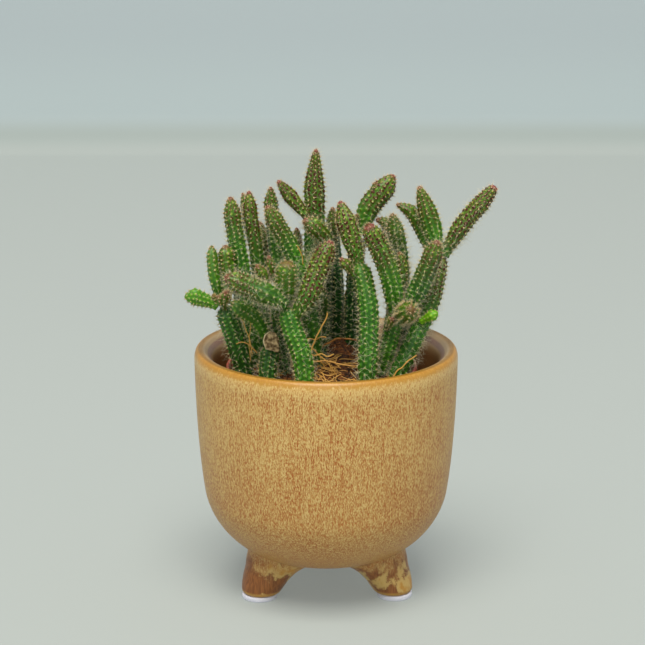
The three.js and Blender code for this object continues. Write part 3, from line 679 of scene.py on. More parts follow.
def stem_tree():
    """Geometry Nodes: a ribbed stem with its areoles, spines and hairs, grown along a centre line.

    The centre line is a chain of edges with a "girth" at each point, from the foot to the tip."""
    tree, given = new_tree("grow_stem", "Centre Line", {
        "Int": ["Ribs", "Spines", "Hairs", "Seed"],
        "Float": ["Pitch", "Stretch", "Swell", "Bare Foot", "Spine Length", "Hair Length", "Age", "Blush"],
        "Material": ["Skin", "Felt", "Spine", "Hair"]}, "Stem")
    ribs = given["Ribs"]
    line = node(tree, "GeometryNodeMeshToCurve", {0: given["Centre Line"]})
    length = node(tree, "GeometryNodeCurveLength", {0: line})
    girth = node(tree, "GeometryNodeInputNamedAttribute", {"Name": "girth"})

    def along_line(to_tip, turn_share):
        """The centre line's point, direction, outward direction and girth, a distance from the tip
        and a share of a turn round it."""
        distance = node(tree, "ShaderNodeMath", {0: length, 1: to_tip}, operation="SUBTRACT")
        spot = node(tree, "GeometryNodeSampleCurve", {"Curves": line, "Value": girth, "Length": distance},
                    mode="LENGTH").outputs
        angle = node(tree, "ShaderNodeMath", {0: turn_share, 1: FULL_TURN}, operation="MULTIPLY")
        cosine = node(tree, "ShaderNodeMath", {0: angle}, operation="COSINE")
        sine = node(tree, "ShaderNodeMath", {0: angle}, operation="SINE")
        side = node(tree, "ShaderNodeVectorMath", {0: spot["Tangent"], 1: spot["Normal"]},
                    operation="CROSS_PRODUCT")
        forward = node(tree, "ShaderNodeVectorMath", {0: spot["Normal"], 1: cosine}, operation="MULTIPLY")
        outward = node(tree, "ShaderNodeVectorMath", {0: side, 1: sine, 2: forward}, operation="MULTIPLY_ADD")
        return spot["Position"], spot["Tangent"], outward, spot["Value"]

    def steps_within(to_tip):
        """How many steps from areole to areole lie within a distance of the tip, as they lengthen."""
        even = node(tree, "ShaderNodeMath", {0: to_tip, 1: given["Pitch"]}, operation="DIVIDE")
        bend = node(tree, "ShaderNodeMath", {0: even, 1: given["Stretch"]}, operation="MULTIPLY")
        square = node(tree, "ShaderNodeMath", {0: bend, 1: 4.0, 2: 1.0}, operation="MULTIPLY_ADD")
        root = node(tree, "ShaderNodeMath", {0: square}, operation="SQRT")
        rise = node(tree, "ShaderNodeMath", {0: root, 1: 1.0}, operation="SUBTRACT")
        double = node(tree, "ShaderNodeMath", {0: given["Stretch"], 1: 2.0}, operation="MULTIPLY")
        return node(tree, "ShaderNodeMath", {0: rise, 1: double}, operation="DIVIDE")

    def first_step(rib):
        """The step of a rib's first areole; on alternate ribs it lies half a step on."""
        odd = node(tree, "ShaderNodeMath", {0: rib, 1: 2.0}, operation="MODULO")
        return node(tree, "ShaderNodeMath", {0: odd, 1: 0.5, 2: FIRST_AREOLE}, operation="MULTIPLY_ADD")

    # The skin is a grid of rings, closer together near the growing point, wrapped round the line.
    around = node(tree, "ShaderNodeMath", {0: ribs, 1: SIDES_PER_RIB, 2: 1.0}, operation="MULTIPLY_ADD")
    gaps = node(tree, "ShaderNodeMath", {0: length, 1: RING_GAP}, operation="DIVIDE")
    rings = node(tree, "ShaderNodeMath", {0: gaps}, operation="CEIL")
    grid = node(tree, "GeometryNodeMeshGrid", {"Size X": 1.0, "Size Y": 1.0, "Vertices X": around,
                "Vertices Y": rings})
    position = node(tree, "GeometryNodeInputPosition")
    flat = node(tree, "ShaderNodeSeparateXYZ", {0: position}).outputs
    turn_share = node(tree, "ShaderNodeMath", {0: flat["X"], 1: 0.5}, operation="ADD")
    tip_share = node(tree, "ShaderNodeMath", {0: 0.5, 1: flat["Y"]}, operation="SUBTRACT")
    crowded = node(tree, "ShaderNodeMath", {0: tip_share, 1: 1.2}, operation="POWER")
    to_tip = node(tree, "ShaderNodeMath", {0: length, 1: crowded}, operation="MULTIPLY")
    point, _, outward, radius = along_line(to_tip, turn_share)

    # It swells under each areole and, less, along each rib, and is a little lumpy all over.
    rib = node(tree, "ShaderNodeMath", {0: turn_share, 1: ribs}, operation="MULTIPLY")
    nearest = node(tree, "ShaderNodeMath", {0: rib}, operation="ROUND")
    off_rib = node(tree, "ShaderNodeMath", {0: rib, 1: nearest}, operation="SUBTRACT")
    row = node(tree, "ShaderNodeMath", {0: steps_within(to_tip), 1: first_step(nearest)},
               operation="SUBTRACT")
    nearest_row = node(tree, "ShaderNodeMath", {0: row}, operation="ROUND")
    off_row = node(tree, "ShaderNodeMath", {0: row, 1: nearest_row}, operation="SUBTRACT")
    hump = 1.0
    for off in (off_rib, off_row):
        swing = node(tree, "ShaderNodeMath", {0: off, 1: math.pi}, operation="MULTIPLY")
        wave = node(tree, "ShaderNodeMath", {0: swing}, operation="COSINE")
        lobe = node(tree, "ShaderNodeMath", {0: wave, 1: 2.0}, operation="POWER")
        hump = node(tree, "ShaderNodeMath", {0: hump, 1: lobe}, operation="MULTIPLY")
    rib_turn = node(tree, "ShaderNodeMath", {0: off_rib, 1: FULL_TURN}, operation="MULTIPLY")
    ridge = node(tree, "ShaderNodeMath", {0: rib_turn}, operation="COSINE")
    relief = node(tree, "ShaderNodeMath", {0: ridge, 1: RIDGE_HEIGHT, 2: hump}, operation="MULTIPLY_ADD")
    noise_place = node(tree, "ShaderNodeVectorMath", {0: outward, 1: (2 * MM,) * 3, 2: point},
                       operation="MULTIPLY_ADD")
    bulges = node(tree, "ShaderNodeTexNoise", {"Vector": noise_place, "Scale": LUMPS_PER_METRE, "Detail": 1})
    level = node(tree, "ShaderNodeMath", {0: bulges.outputs["Fac"], 1: LUMPINESS, 2: SKIN_LEVEL},
                 operation="MULTIPLY_ADD")
    swollen = node(tree, "ShaderNodeMath", {0: relief, 1: given["Swell"], 2: level},
                   operation="MULTIPLY_ADD")
    tissue = node(tree, "ShaderNodeMath", {0: radius, 1: swollen}, operation="MULTIPLY")
    foot_ring = node(tree, "ShaderNodeMath", {0: length, 1: 0.01 * MM}, operation="SUBTRACT")
    above_foot = node(tree, "ShaderNodeMath", {0: to_tip, 1: foot_ring}, operation="LESS_THAN")
    closed_radius = node(tree, "ShaderNodeMath", {0: tissue, 1: above_foot}, operation="MULTIPLY")
    skin_place = node(tree, "ShaderNodeVectorMath", {0: outward, 1: closed_radius, 2: point},
                      operation="MULTIPLY_ADD")
    tip_mm = node(tree, "ShaderNodeMath", {0: to_tip, 1: MM}, operation="DIVIDE")
    wrapped = grid
    for name, value in (("tip_mm", tip_mm), ("swelling", hump), ("age", given["Age"]),
                        ("blush", given["Blush"])):
        wrapped = node(tree, "GeometryNodeStoreNamedAttribute",
                       {"Geometry": wrapped, "Name": name, "Value": value}, domain="POINT")
    wrapped = node(tree, "GeometryNodeSetPosition", {"Geometry": wrapped, "Position": skin_place})
    closed = node(tree, "GeometryNodeMergeByDistance", {"Geometry": wrapped, "Distance": 0.004 * MM})
    skin = node(tree, "GeometryNodeSetMaterial", {0: closed, "Material": given["Skin"]})

    # The areoles: one point for each step of each rib, a little out of line.
    last_step = node(tree, "ShaderNodeMath", {0: steps_within(length)}, operation="CEIL")
    count = node(tree, "ShaderNodeMath", {0: last_step, 1: ribs}, operation="MULTIPLY")
    dots = node(tree, "GeometryNodePoints", {"Count": count})
    index = node(tree, "GeometryNodeInputIndex")

    def chance(low, high, offset):
        """A random value for each point, of its own for each offset."""
        seed = node(tree, "ShaderNodeMath", {0: given["Seed"], 1: offset}, operation="ADD")
        return node(tree, "FunctionNodeRandomValue", {2: low, 3: high, "Seed": seed}).outputs[1]

    dot_rib = node(tree, "ShaderNodeMath", {0: index, 1: ribs}, operation="MODULO")
    index_share = node(tree, "ShaderNodeMath", {0: index, 1: ribs}, operation="DIVIDE")
    dot_row = node(tree, "ShaderNodeMath", {0: index_share}, operation="FLOOR")
    step = node(tree, "ShaderNodeMath", {0: first_step(dot_rib), 1: dot_row}, operation="ADD")
    step = node(tree, "ShaderNodeMath", {0: step, 1: chance(-0.17, 0.17, 1)}, operation="ADD")
    even_tip = node(tree, "ShaderNodeMath", {0: given["Pitch"], 1: step}, operation="MULTIPLY")
    longer = node(tree, "ShaderNodeMath", {0: given["Stretch"], 1: step, 2: 1.0}, operation="MULTIPLY_ADD")
    dot_tip = node(tree, "ShaderNodeMath", {0: even_tip, 1: longer}, operation="MULTIPLY")
    strayed = node(tree, "ShaderNodeMath", {0: dot_rib, 1: chance(-0.14, 0.14, 2)}, operation="ADD")
    dot_turn = node(tree, "ShaderNodeMath", {0: strayed, 1: ribs}, operation="DIVIDE")
    dot_point, dot_tangent, dot_outward, dot_radius = along_line(dot_tip, dot_turn)
    lean = node(tree, "ShaderNodeMapRange", {"Value": dot_tip, "From Min": 0.2 * MM, "From Max": 4.5 * MM,
                "To Min": 1.6, "To Max": 0.1})
    leaning = node(tree, "ShaderNodeVectorMath", {0: dot_tangent, 1: lean, 2: dot_outward},
                   operation="MULTIPLY_ADD")
    facing = node(tree, "ShaderNodeVectorMath", {0: leaning}, operation="NORMALIZE")
    seat = node(tree, "ShaderNodeMath", {0: given["Swell"], 1: 1.1, 2: 0.97}, operation="MULTIPLY_ADD")
    seat = node(tree, "ShaderNodeMath", {0: dot_radius, 1: seat}, operation="MULTIPLY")
    dot_place = node(tree, "ShaderNodeVectorMath", {0: dot_outward, 1: seat, 2: dot_point},
                     operation="MULTIPLY_ADD")
    dot_mm = node(tree, "ShaderNodeMath", {0: dot_tip, 1: MM}, operation="DIVIDE")
    for name, value, kind in (("tip_mm", dot_mm, "FLOAT"), ("facing", facing, "FLOAT_VECTOR")):
        dots = node(tree, "GeometryNodeStoreNamedAttribute",
                    {"Geometry": dots, "Name": name, "Value": value}, domain="POINT", data_type=kind)
    dots = node(tree, "GeometryNodeSetPosition", {"Geometry": dots, "Position": dot_place})
    dot_mm = node(tree, "GeometryNodeInputNamedAttribute", {"Name": "tip_mm"})
    faced = node(tree, "GeometryNodeInputNamedAttribute", {"Name": "facing"}, data_type="FLOAT_VECTOR")
    bare_from = node(tree, "ShaderNodeMath", {0: length, 1: given["Bare Foot"]}, operation="SUBTRACT")
    bare_mm = node(tree, "ShaderNodeMath", {0: bare_from, 1: MM}, operation="DIVIDE")
    past = node(tree, "ShaderNodeMath", {0: dot_mm, 1: bare_mm}, operation="GREATER_THAN")
    dots = node(tree, "GeometryNodeDeleteGeometry", {"Geometry": dots, "Selection": past})

    ball = node(tree, "GeometryNodeMeshIcoSphere", {"Radius": 1.0, "Subdivisions": 1})
    upright = node(tree, "FunctionNodeAlignRotationToVector", {"Vector": faced}, axis="Z")
    cushion = node(tree, "ShaderNodeVectorMath", {0: CUSHION, "Scale": chance(0.5, 1.3, 3)},
                   operation="SCALE")
    cushions = node(tree, "GeometryNodeInstanceOnPoints",
                    {"Points": dots, "Instance": ball, "Rotation": upright, "Scale": cushion})
    felt = node(tree, "GeometryNodeSetMaterial", {0: cushions, "Material": given["Felt"]})

    # Sprays: a few spines and hairs from each areole, longer down the stem.
    reach = node(tree, "ShaderNodeMapRange", {"Value": dot_mm, "From Min": 0.0, "From Max": 30.0,
                 "To Min": 0.75, "To Max": 1.3})

    def spray(amount, spread, shape, size, material, offset):
        """Copies of a shape from each areole, turned and splayed at random about the way it faces."""
        copies = node(tree, "GeometryNodeDuplicateElements", {"Geometry": dots, "Amount": amount},
                      domain="POINT")
        seed = node(tree, "ShaderNodeMath", {0: given["Seed"], 1: offset}, operation="ADD")
        splay = node(tree, "FunctionNodeRandomValue", {0: (-1, -1, -1), 1: (1, 1, 1), "Seed": seed},
                     data_type="FLOAT_VECTOR")
        aim = node(tree, "ShaderNodeVectorMath", {0: splay, 1: (spread,) * 3, 2: faced},
                   operation="MULTIPLY_ADD")
        roll = node(tree, "ShaderNodeCombineXYZ", {"Z": chance(0, FULL_TURN, offset + 1)})
        aimed = node(tree, "FunctionNodeAlignRotationToVector", {"Rotation": roll, "Vector": aim}, axis="Z")
        placed = node(tree, "GeometryNodeInstanceOnPoints",
                      {"Points": copies, "Instance": shape, "Rotation": aimed, "Scale": size})
        return node(tree, "GeometryNodeSetMaterial", {0: placed, "Material": material})

    spike = node(tree, "GeometryNodeMeshCone", {"Vertices": 3, "Radius Top": 0.0, "Radius Bottom": 1.0,
                 "Depth": 1.0})
    spine_length = node(tree, "ShaderNodeMath", {0: reach, 1: given["Spine Length"]}, operation="MULTIPLY")
    spine_length = node(tree, "ShaderNodeMath", {0: spine_length, 1: chance(0.55, 1.3, 5)},
                        operation="MULTIPLY")
    spine_size = node(tree, "ShaderNodeCombineXYZ",
                      {"X": SPINE_RADIUS, "Y": SPINE_RADIUS, "Z": spine_length})
    spines = spray(given["Spines"], 0.8, spike, spine_size, given["Spine"], 6)

    bow = node(tree, "GeometryNodeCurveQuadraticBezier", {"Resolution": 3, "Start": (0, 0, 0),
               "Middle": (0, 0, 0.6), "End": (0.4, 0, 0.9)})
    along_hair = node(tree, "GeometryNodeSplineParameter").outputs["Factor"]
    taper = node(tree, "ShaderNodeMath", {0: along_hair, 1: -0.7, 2: 1.0}, operation="MULTIPLY_ADD")
    section = node(tree, "GeometryNodeCurvePrimitiveCircle", {"Resolution": 3, "Radius": HAIR_RADIUS})
    bent = node(tree, "GeometryNodeCurveToMesh", {"Curve": bow, "Profile Curve": section, "Scale": taper})
    hair_length = node(tree, "ShaderNodeMath", {0: reach, 1: given["Hair Length"]}, operation="MULTIPLY")
    hair_length = node(tree, "ShaderNodeMath", {0: hair_length, 1: chance(0.45, 1.5, 8)},
                       operation="MULTIPLY")
    hairs = spray(given["Hairs"], 1.1, bent, hair_length, given["Hair"], 9)

    parts = node(tree, "GeometryNodeJoinGeometry")
    for part in (hairs, spines, felt, skin):
        tree.links.new(part.outputs[0], parts.inputs[0])
    real = node(tree, "GeometryNodeRealizeInstances", {0: parts})
    smooth = node(tree, "GeometryNodeSetShadeSmooth", {0: real})
    node(tree, "NodeGroupOutput", {0: smooth})
    return tree


def centre_line(cad_node):
    """Middle points and girths of a CAD stem's rings, in metres, from its foot to its tip.

    The stem is a tube of rings with a point at each end. Rings are found by walking from the tip
    point, and the tip is the end whose last triangles don't lie flat."""
    merged = bmesh.new()
    merged.from_mesh(cad_node.data)
    bmesh.ops.remove_doubles(merged, verts=merged.verts, dist=1e-6)
    sides = 8
    poles = [v for v in merged.verts if len(v.link_faces) == sides
             and len({e.other_vert(v) for e in v.link_edges}) == sides]

    def rise(pole):
        ring = [e.other_vert(pole).co for e in pole.link_edges]
        return (pole.co - sum(ring, Vector()) / len(ring)).length

    poles = sorted(poles, key=rise)[-1:] if len(poles) > 1 else poles
    seen, layer, layers = {poles[0]}, [poles[0]], []
    while layer:
        layers.append([v.co.copy() for v in layer])
        after = {e.other_vert(v) for v in layer for e in v.link_edges} - seen
        seen |= after
        layer = list(after)
    middles = [sum(ring, Vector()) / len(ring) for ring in layers]
    girths = [sum((p - m).length for p in ring) / len(ring) for ring, m in zip(layers, middles)]
    merged.free()
    if len(layers[-1]) == 1:
        middles, girths = middles[:-1], girths[:-1]
    return np.array([list(m) for m in middles[::-1]]), np.array(girths[::-1])


TIP_BLUNTNESS = 0.58        # how the girth falls off over the growing point


def smooth_line(points, girths, step, neck):
    """A fine chain through the middles, a Catmull-Rom curve, carried back by the neck's length."""
    if neck:
        back = points[0] - points[1]
        points = np.vstack([points[0] + back / np.linalg.norm(back) * neck, points])
        girths = np.insert(girths, 0, girths[0])
    padded_points = np.vstack([2 * points[0] - points[1], points, 2 * points[-1] - points[-2]])
    fine, thick = [], []
    closing = girths ** (1 / TIP_BLUNTNESS)
    for i in range(len(points) - 1):
        a, b, c, d = padded_points[i:i + 4]
        knots = np.cumsum([0, *(np.sqrt(np.linalg.norm(q - p)) for p, q in ((a, b), (b, c), (c, d)))])
        count = max(2, int(np.linalg.norm(c - b) / step))
        for share in np.arange(count) / count:
            t = knots[1] + share * (knots[2] - knots[1])
            ab = (a * (knots[1] - t) + b * t) / knots[1]
            bc = (b * (knots[2] - t) + c * (t - knots[1])) / (knots[2] - knots[1])
            cd = (c * (knots[3] - t) + d * (t - knots[2])) / (knots[3] - knots[2])
            abc = (ab * (knots[2] - t) + bc * t) / knots[2]
            bcd = (bc * (knots[3] - t) + cd * (t - knots[1])) / (knots[3] - knots[1])
            fine.append((abc * (knots[2] - t) + bcd * (t - knots[1])) / (knots[2] - knots[1]))
            thick.append((closing[i] * (1 - share) + closing[i + 1] * share) ** TIP_BLUNTNESS)
    fine.append(points[-1])
    thick.append(girths[-1])
    return np.array(fine), np.array(thick)


# How old a stem looks, from -1, lime new growth, to 2, the oldest; the others take the usual value.
# stem_inner is made this old partly as painted shade, for it stands deep in the clump.
STEM_AGE = {
    "stem_left_woolly": 1.0, "stem_right_woolly": 0.8, "stem_inner": 1.4, "stem_left_stub": 1.2,
    "stem_left_main": 0.9, "branch_left_low": 0.4, "stem_front_left": 0.35, "stem_centre_front": 0.5,
    "stem_right_main": 0.4, "branch_right_bright": 0.05, "branch_front_left_reach": 0.3,
    "branch_front_left_side": 0.55, "branch_left_side": -0.3, "bud_right_main": -1.0,
    "branch_right_out": 0.6, "branch_right_head": 0.6,
}
# The stems at the back take a dark old colour, partly as painted shade.
ROOTED_AGE, BRANCH_AGE, BACK_AGE_AND_SHADE = 0.4, 0.25, 1.5

# How olive and maroon its growing end is, from 0, green to the point, over 1 to 2, far down the stem.
STEM_BLUSH = {
    "branch_left_slim": 0.5, "branch_left_blunt": 0.8, "bud_right_main": 0, "branch_left_side": 0.1,
    "branch_right_bright": 1.2, "stem_left_stub": 0.1, "branch_left_low": 0.3, "stem_left_main": 0.1,
    "stem_front_left": 0, "stem_right_inner": 0, "stem_centre_front": 0.25, "branch_right_facing": 0.7,
    "stem_right_main": 1.3, "branch_front_left_top": 0.6, "branch_front_left_reach": 1.7,
    "branch_centre_front": 1.6,
    "stem_left_woolly": 0.3, "stem_right_woolly": 0.6, "stem_inner": 0.3, "stem_tall_centre": 1.7,
    "branch_right_out": 1.8, "branch_tall_centre": 1.6, "stem_left_second": 1.4, "branch_back_club": 1.2,
}

# Where the living stem differs from the plain solid: slimmer, blunter, or rooted deeper, by so many
# millimetres, in the stem it grew from.
SLIMMER = {"branch_right_out": 0.86}
BLUNTER = {"stem_right_main", "branch_right_bright", "branch_front_left_top", "branch_right_out"}
DEEPER = {"branch_right_out": 4, "branch_right_up": 3}

# How many hairs grow from each areole of the hairiest and of the barest; most take 3 to 5.
STEM_HAIRS = {
    "branch_front_left_side": 7, "branch_front_left_top": 6, "branch_right_facing": 6, "stem_left_woolly": 6,
    "stem_right_woolly": 7, "stem_right_main": 7, "branch_right_bright": 5, "stem_left_main": 3,
    "stem_left_stub": 3, "branch_left_low": 3, "stem_inner": 2, "bud_right_main": 0,
}

# How many spines grow from each areole, and their length; most have five, 0.8 mm long.
STEM_SPINES = {"branch_right_facing": (10, 1.4), "stem_inner": (3, 0.8), "bud_right_main": (1, 0.8)}

skin, felt, spine, hair = living_skin(), areole_felt(), stiff_spine(), pale_hair()
grow_stem = stem_tree()


def grow(name, middles, girths, age, blush, spines, hairs, bare_foot, seed):
    """A stem along a chain of middles, in metres, ribbed to suit its girth.

    Spines is how many grow from each areole, and their length in millimetres."""
    line = bpy.data.meshes.new(name + "_line")
    line.from_pydata([tuple(p) for p in middles], [(i, i + 1) for i in range(len(middles) - 1)], [])
    line.attributes.new("girth", "FLOAT", "POINT").data.foreach_set("value", girths.astype(np.float32))
    thickness = girths.max() / MM
    wool = min(max(age, 0), 1)
    stem = grown(grow_stem, line, name,
                 ribs=10 if thickness > 2.35 else 8 if thickness > 1.7 else 6,
                 pitch=1.15 * MM, stretch=0.016, swell=0.13, bare_foot=bare_foot,
                 spines=spines[0], spine_length=spines[1] * MM, hairs=hairs,
                 hair_length=(1.5 + 0.8 * wool) * MM, age=float(age), blush=float(blush), seed=seed,
                 skin=skin, felt=felt, spine=spine, hair=hair)
    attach(stem, "root")
    return stem


stem_names = sorted(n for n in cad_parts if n.split("_")[0] in ("stem", "branch", "bud"))
for order, name in enumerate(stem_names):
    rooted = name.startswith("stem")
    middles, girths = centre_line(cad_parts[name])
    middles, girths = smooth_line(middles, girths, 0.5 * MM, 0 if rooted else DEEPER.get(name, 2) * MM)
    usual = BACK_AGE_AND_SHADE if name.startswith("stem_back") else ROOTED_AGE if rooted else BRANCH_AGE
    age = STEM_AGE.get(name, usual)
    usual_hairs = 1 if name.startswith("stem_back") else 3 + round(2 * min(max(age, 0), 1))
    usual_spines = (3, 0.8) if name.startswith("stem_back") else (5, 0.8)
    widest = girths.max() * SLIMMER.get(name, 1)
    girths = widest * (girths / girths.max()) ** (0.6 if name in BLUNTER else 1)
    stem = grow(name + "_grown", middles, girths, age, STEM_BLUSH.get(name, 1),
                STEM_SPINES.get(name, usual_spines), STEM_HAIRS.get(name, usual_hairs),
                bare_foot=4 * MM if rooted else 1.6 * MM, seed=order * 17)
    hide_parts(name)

# The newest buds, 2 to 4 mm long: foot and tip in millimetres from the planter's axis, and girth.
NEW_BUDS = [
    ((16.0, 7, 120.6), (16.3, 6.5, 124.2), 1.1), ((14.2, 7, 122.6), (14.9, 6.5, 125.8), 0.9),
    ((12.4, -15, 115.2), (12.0, -17.5, 118.0), 1.1), ((9.7, 5.4, 113.6), (8.9, 3.4, 116.4), 0.8),
    ((-32.2, -10, 92.6), (-33.6, -11.5, 95.4), 1.0), ((-30.9, -11, 92.2), (-32.0, -12.5, 95.4), 1.3),
    ((-29.6, -11.6, 93.2), (-29.2, -13, 97.4), 1.3),
]
for order, (foot, tip, girth) in enumerate(NEW_BUDS):
    share = np.linspace(0, 1, 9)
    middles = ((1 - share)[:, None] * foot + share[:, None] * tip) * MM + [AXIS_X, 0, 0]
    girths = girth * MM * np.sqrt(np.clip(1 - (share * 1.25 - 0.25) ** 2, 0.004, 1))
    grow("new_bud_%d" % (order + 1), middles, girths, 0, 0.8, (5, 0.8), 3,
         bare_foot=0.3 * MM, seed=900 + order * 17)

# ------------------------------------------------------------------------------ coir fibres
# Long golden strands of coir that worked loose from the mix and lie over it and against the stems,
# a brown root that shows at the back, and a tangle of short fibres on top of the mix.

# Each strand's thickness, then its route in millimetres from the planter's axis.
STRANDS = [
    (0.28, [(-26.6, -16, 81.4), (-25.2, -16, 81.9), (-23.7, -16, 81.7), (-22.2, -16, 80.5),
            (-20.5, -16, 78.6)]),
    (0.5, [(0.3, -14, 90.5), (0.1, -14, 88.8), (-1.5, -14, 86), (-3.3, -14, 82), (-4.9, -14, 77.5)]),
    (0.36, [(-6.6, -13, 81.6), (-5, -13, 82.2), (-3.2, -13, 81.9), (-1.6, -13, 82.8), (0, -13, 82.6)]),
    (0.42, [(-5.2, -12, 77.8), (-3.4, -12, 76.8), (-1.4, -12, 77.3), (0.4, -12, 76.4), (2.2, -12, 77.2)]),
    (0.36, [(-5.4, -12, 80.4), (-2.4, -12, 77.2), (0.5, -12, 74.4), (3.4, -12, 70)]),
    (0.44, [(-6, -12, 75.8), (-3, -12.5, 74.9), (0.2, -12, 75), (4.7, -12.5, 74), (9.6, -12, 73.3)]),
    (0.42, [(19.4, -17, 70.6), (20.8, -17, 73.2), (22.4, -17, 74.4), (24.4, -17, 76.6), (26.6, -17, 78.2)]),
    (0.26, [(-8.6, -14, 110.6), (-7.6, -14.2, 109), (-7.1, -14, 107.4), (-6.8, -14, 104.9)]),
    (0.3, [(-25, -13, 88.6), (-23.9, -13, 85.1), (-22.7, -13, 82.1), (-22, -13, 77.4)]),
    (0.2, [(-22.6, -15, 91.5), (-22.3, -15, 87), (-22.8, -15, 82), (-22.4, -15.5, 76)]),
]
ROOT = (0.6, [(-2.6, 0, 74.6), (-1.9, 0, 75.4), (-0.3, 0, 76.7), (1.2, 0, 77.5), (3, 0, 78.6), (4.5, 0, 78.7),
              (6.9, 0, 78.6), (9.4, 0, 78)])


def dark_root():
    """A corky root: red-brown and matt, with darker patches 1 mm across."""
    material, tree, shader = new_material("corky_root", 0.85, 1.45)
    place = node(tree, "ShaderNodeTexCoord").outputs["Object"]
    streaks = node(tree, "ShaderNodeTexNoise", {"Vector": place, "Scale": 900, "Detail": 3}).outputs["Fac"]
    share = node(tree, "ShaderNodeMapRange", {"Value": streaks, "From Min": 0.35, "From Max": 0.65})
    two_toned(tree, shader, share, "6b3d18", "b07a38")
    return material


def fibre_tree():
    """Geometry Nodes: round fibres along chains of points, smoothed and a little crooked."""
    tree, given = new_tree("spin_fibres", "Routes", {
        "Float": ["Crooked"], "Int": ["Seed"], "Material": ["Material"]}, "Fibres")
    line = node(tree, "GeometryNodeMeshToCurve", {0: given["Routes"]})
    eased = node(tree, "GeometryNodeCurveSplineType", {0: line}, spline_type="CATMULL_ROM")
    fine = node(tree, "GeometryNodeResampleCurve", {"Curve": eased, "Length": 0.35 * MM},
                mode="LENGTH")
    place = node(tree, "GeometryNodeInputPosition")
    wobble = node(tree, "ShaderNodeTexNoise",
                  {"Vector": place, "W": given["Seed"], "Scale": 420, "Detail": 2}, noise_dimensions="4D")
    centred = node(tree, "ShaderNodeVectorMath", {0: wobble.outputs["Color"], 1: (0.5, 0.5, 0.5)},
                   operation="SUBTRACT")
    shift = node(tree, "ShaderNodeVectorMath", {0: centred, "Scale": given["Crooked"]}, operation="SCALE")
    bent = node(tree, "GeometryNodeSetPosition", {"Geometry": fine, "Offset": shift})
    thick = node(tree, "GeometryNodeInputNamedAttribute", {"Name": "thick"})
    section = node(tree, "GeometryNodeCurvePrimitiveCircle", {"Resolution": 6, "Radius": 0.5})
    tube = node(tree, "GeometryNodeCurveToMesh", {"Curve": bent, "Profile Curve": section, "Scale": thick,
                "Fill Caps": True})
    real = node(tree, "GeometryNodeRealizeInstances", {0: tube})
    smooth = node(tree, "GeometryNodeSetShadeSmooth", {0: real})
    done = node(tree, "GeometryNodeSetMaterial", {0: smooth, "Material": given["Material"]})
    node(tree, "NodeGroupOutput", {0: done})
    return tree


def spun(tree, name, strands, material):
    """One piece of fibres from a list of thicknesses and routes."""
    points, edges, thick, shade = [], [], [], []
    for order, (width, route) in enumerate(strands):
        edges += [(len(points) + i, len(points) + i + 1) for i in range(len(route) - 1)]
        points += [((x * MM + AXIS_X), y * MM, z * MM) for x, y, z in route]
        thick += [width * MM] * len(route)
        shade += [0.35 + 0.6 * ((order * 0.618) % 1)] * len(route)
    mesh = bpy.data.meshes.new(name + "_routes")
    mesh.from_pydata(points, edges, [])
    mesh.attributes.new("thick", "FLOAT", "POINT").data.foreach_set("value", thick)
    mesh.attributes.new("shade", "FLOAT", "POINT").data.foreach_set("value", shade)
    piece = grown(tree, mesh, name, crooked=0.7 * MM, seed=4, material=material)
    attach(piece, "root")


def tangle(count, low, high, seed):
    """Short curled strands lying about on the heap, in front of the stems."""
    chance = np.random.default_rng(seed)
    strands = []
    for _ in range(count):
        x = chance.uniform(low[0], high[0])
        y = chance.uniform(low[1], high[1])
        heading = chance.uniform(0, 2 * math.pi)
        turn = chance.normal(0, 0.3)
        rise, climb = chance.uniform(0.1, 2.5), chance.uniform(-0.5, 0.7)
        route = []
        for step in range(5):
            bed = float(mix_surface(math.hypot(x + (AXIS_X - POT_X) / MM, y)))
            route.append((x, y, max(bed + 0.2, bed + rise + climb * (step - 2))))
            x += 1.3 * math.cos(heading)
            y += 1.3 * math.sin(heading)
            heading += turn
        strands.append((chance.uniform(0.12, 0.26), route))
    return strands


spin_fibres = fibre_tree()
gold = coir()
spun(spin_fibres, "coir_strands", STRANDS, gold)
spun(spin_fibres, "showing_root", [ROOT], dark_root())
loose = tangle(60, (-5, -22), (9, -6), 5) + tangle(110, (-24, -22), (24, 20), 8)
spun(spin_fibres, "coir_tangle", loose, gold)

# ------------------------------------------------------------------------------ dry husk
# A curled scrap of dead skin, caught on the stub at the left.


def dry_skin():
    """Dead skin: papery, tan with darker blotches 1 mm across, and a cream torn edge."""
    material, tree, shader = new_material("dry_papery_skin", 0.85, 1.45)
    place = node(tree, "ShaderNodeTexCoord").outputs["Object"]
    blotches = node(tree, "ShaderNodeTexNoise", {"Vector": place, "Scale": 1100, "Detail": 4}).outputs["Fac"]
    share = node(tree, "ShaderNodeMapRange", {"Value": blotches, "From Min": 0.4, "From Max": 0.62})
    tone = node(tree, "ShaderNodeMix", {0: share.outputs[0], 6: colour("574629"), 7: colour("ab966c")},
                data_type="RGBA")
    edge = node(tree, "ShaderNodeAttribute", attribute_name="rim").outputs["Fac"]
    torn = node(tree, "ShaderNodeMix", {0: edge, 6: tone.outputs[2], 7: colour("e2cfa3")}, data_type="RGBA")
    tree.links.new(torn.outputs[2], shader.inputs["Base Color"])
    bump = node(tree, "ShaderNodeBump", {"Strength": 0.6, "Distance": 0.2 * MM, "Height": blotches})
    tree.links.new(bump.outputs[0], shader.inputs["Normal"])
    return material


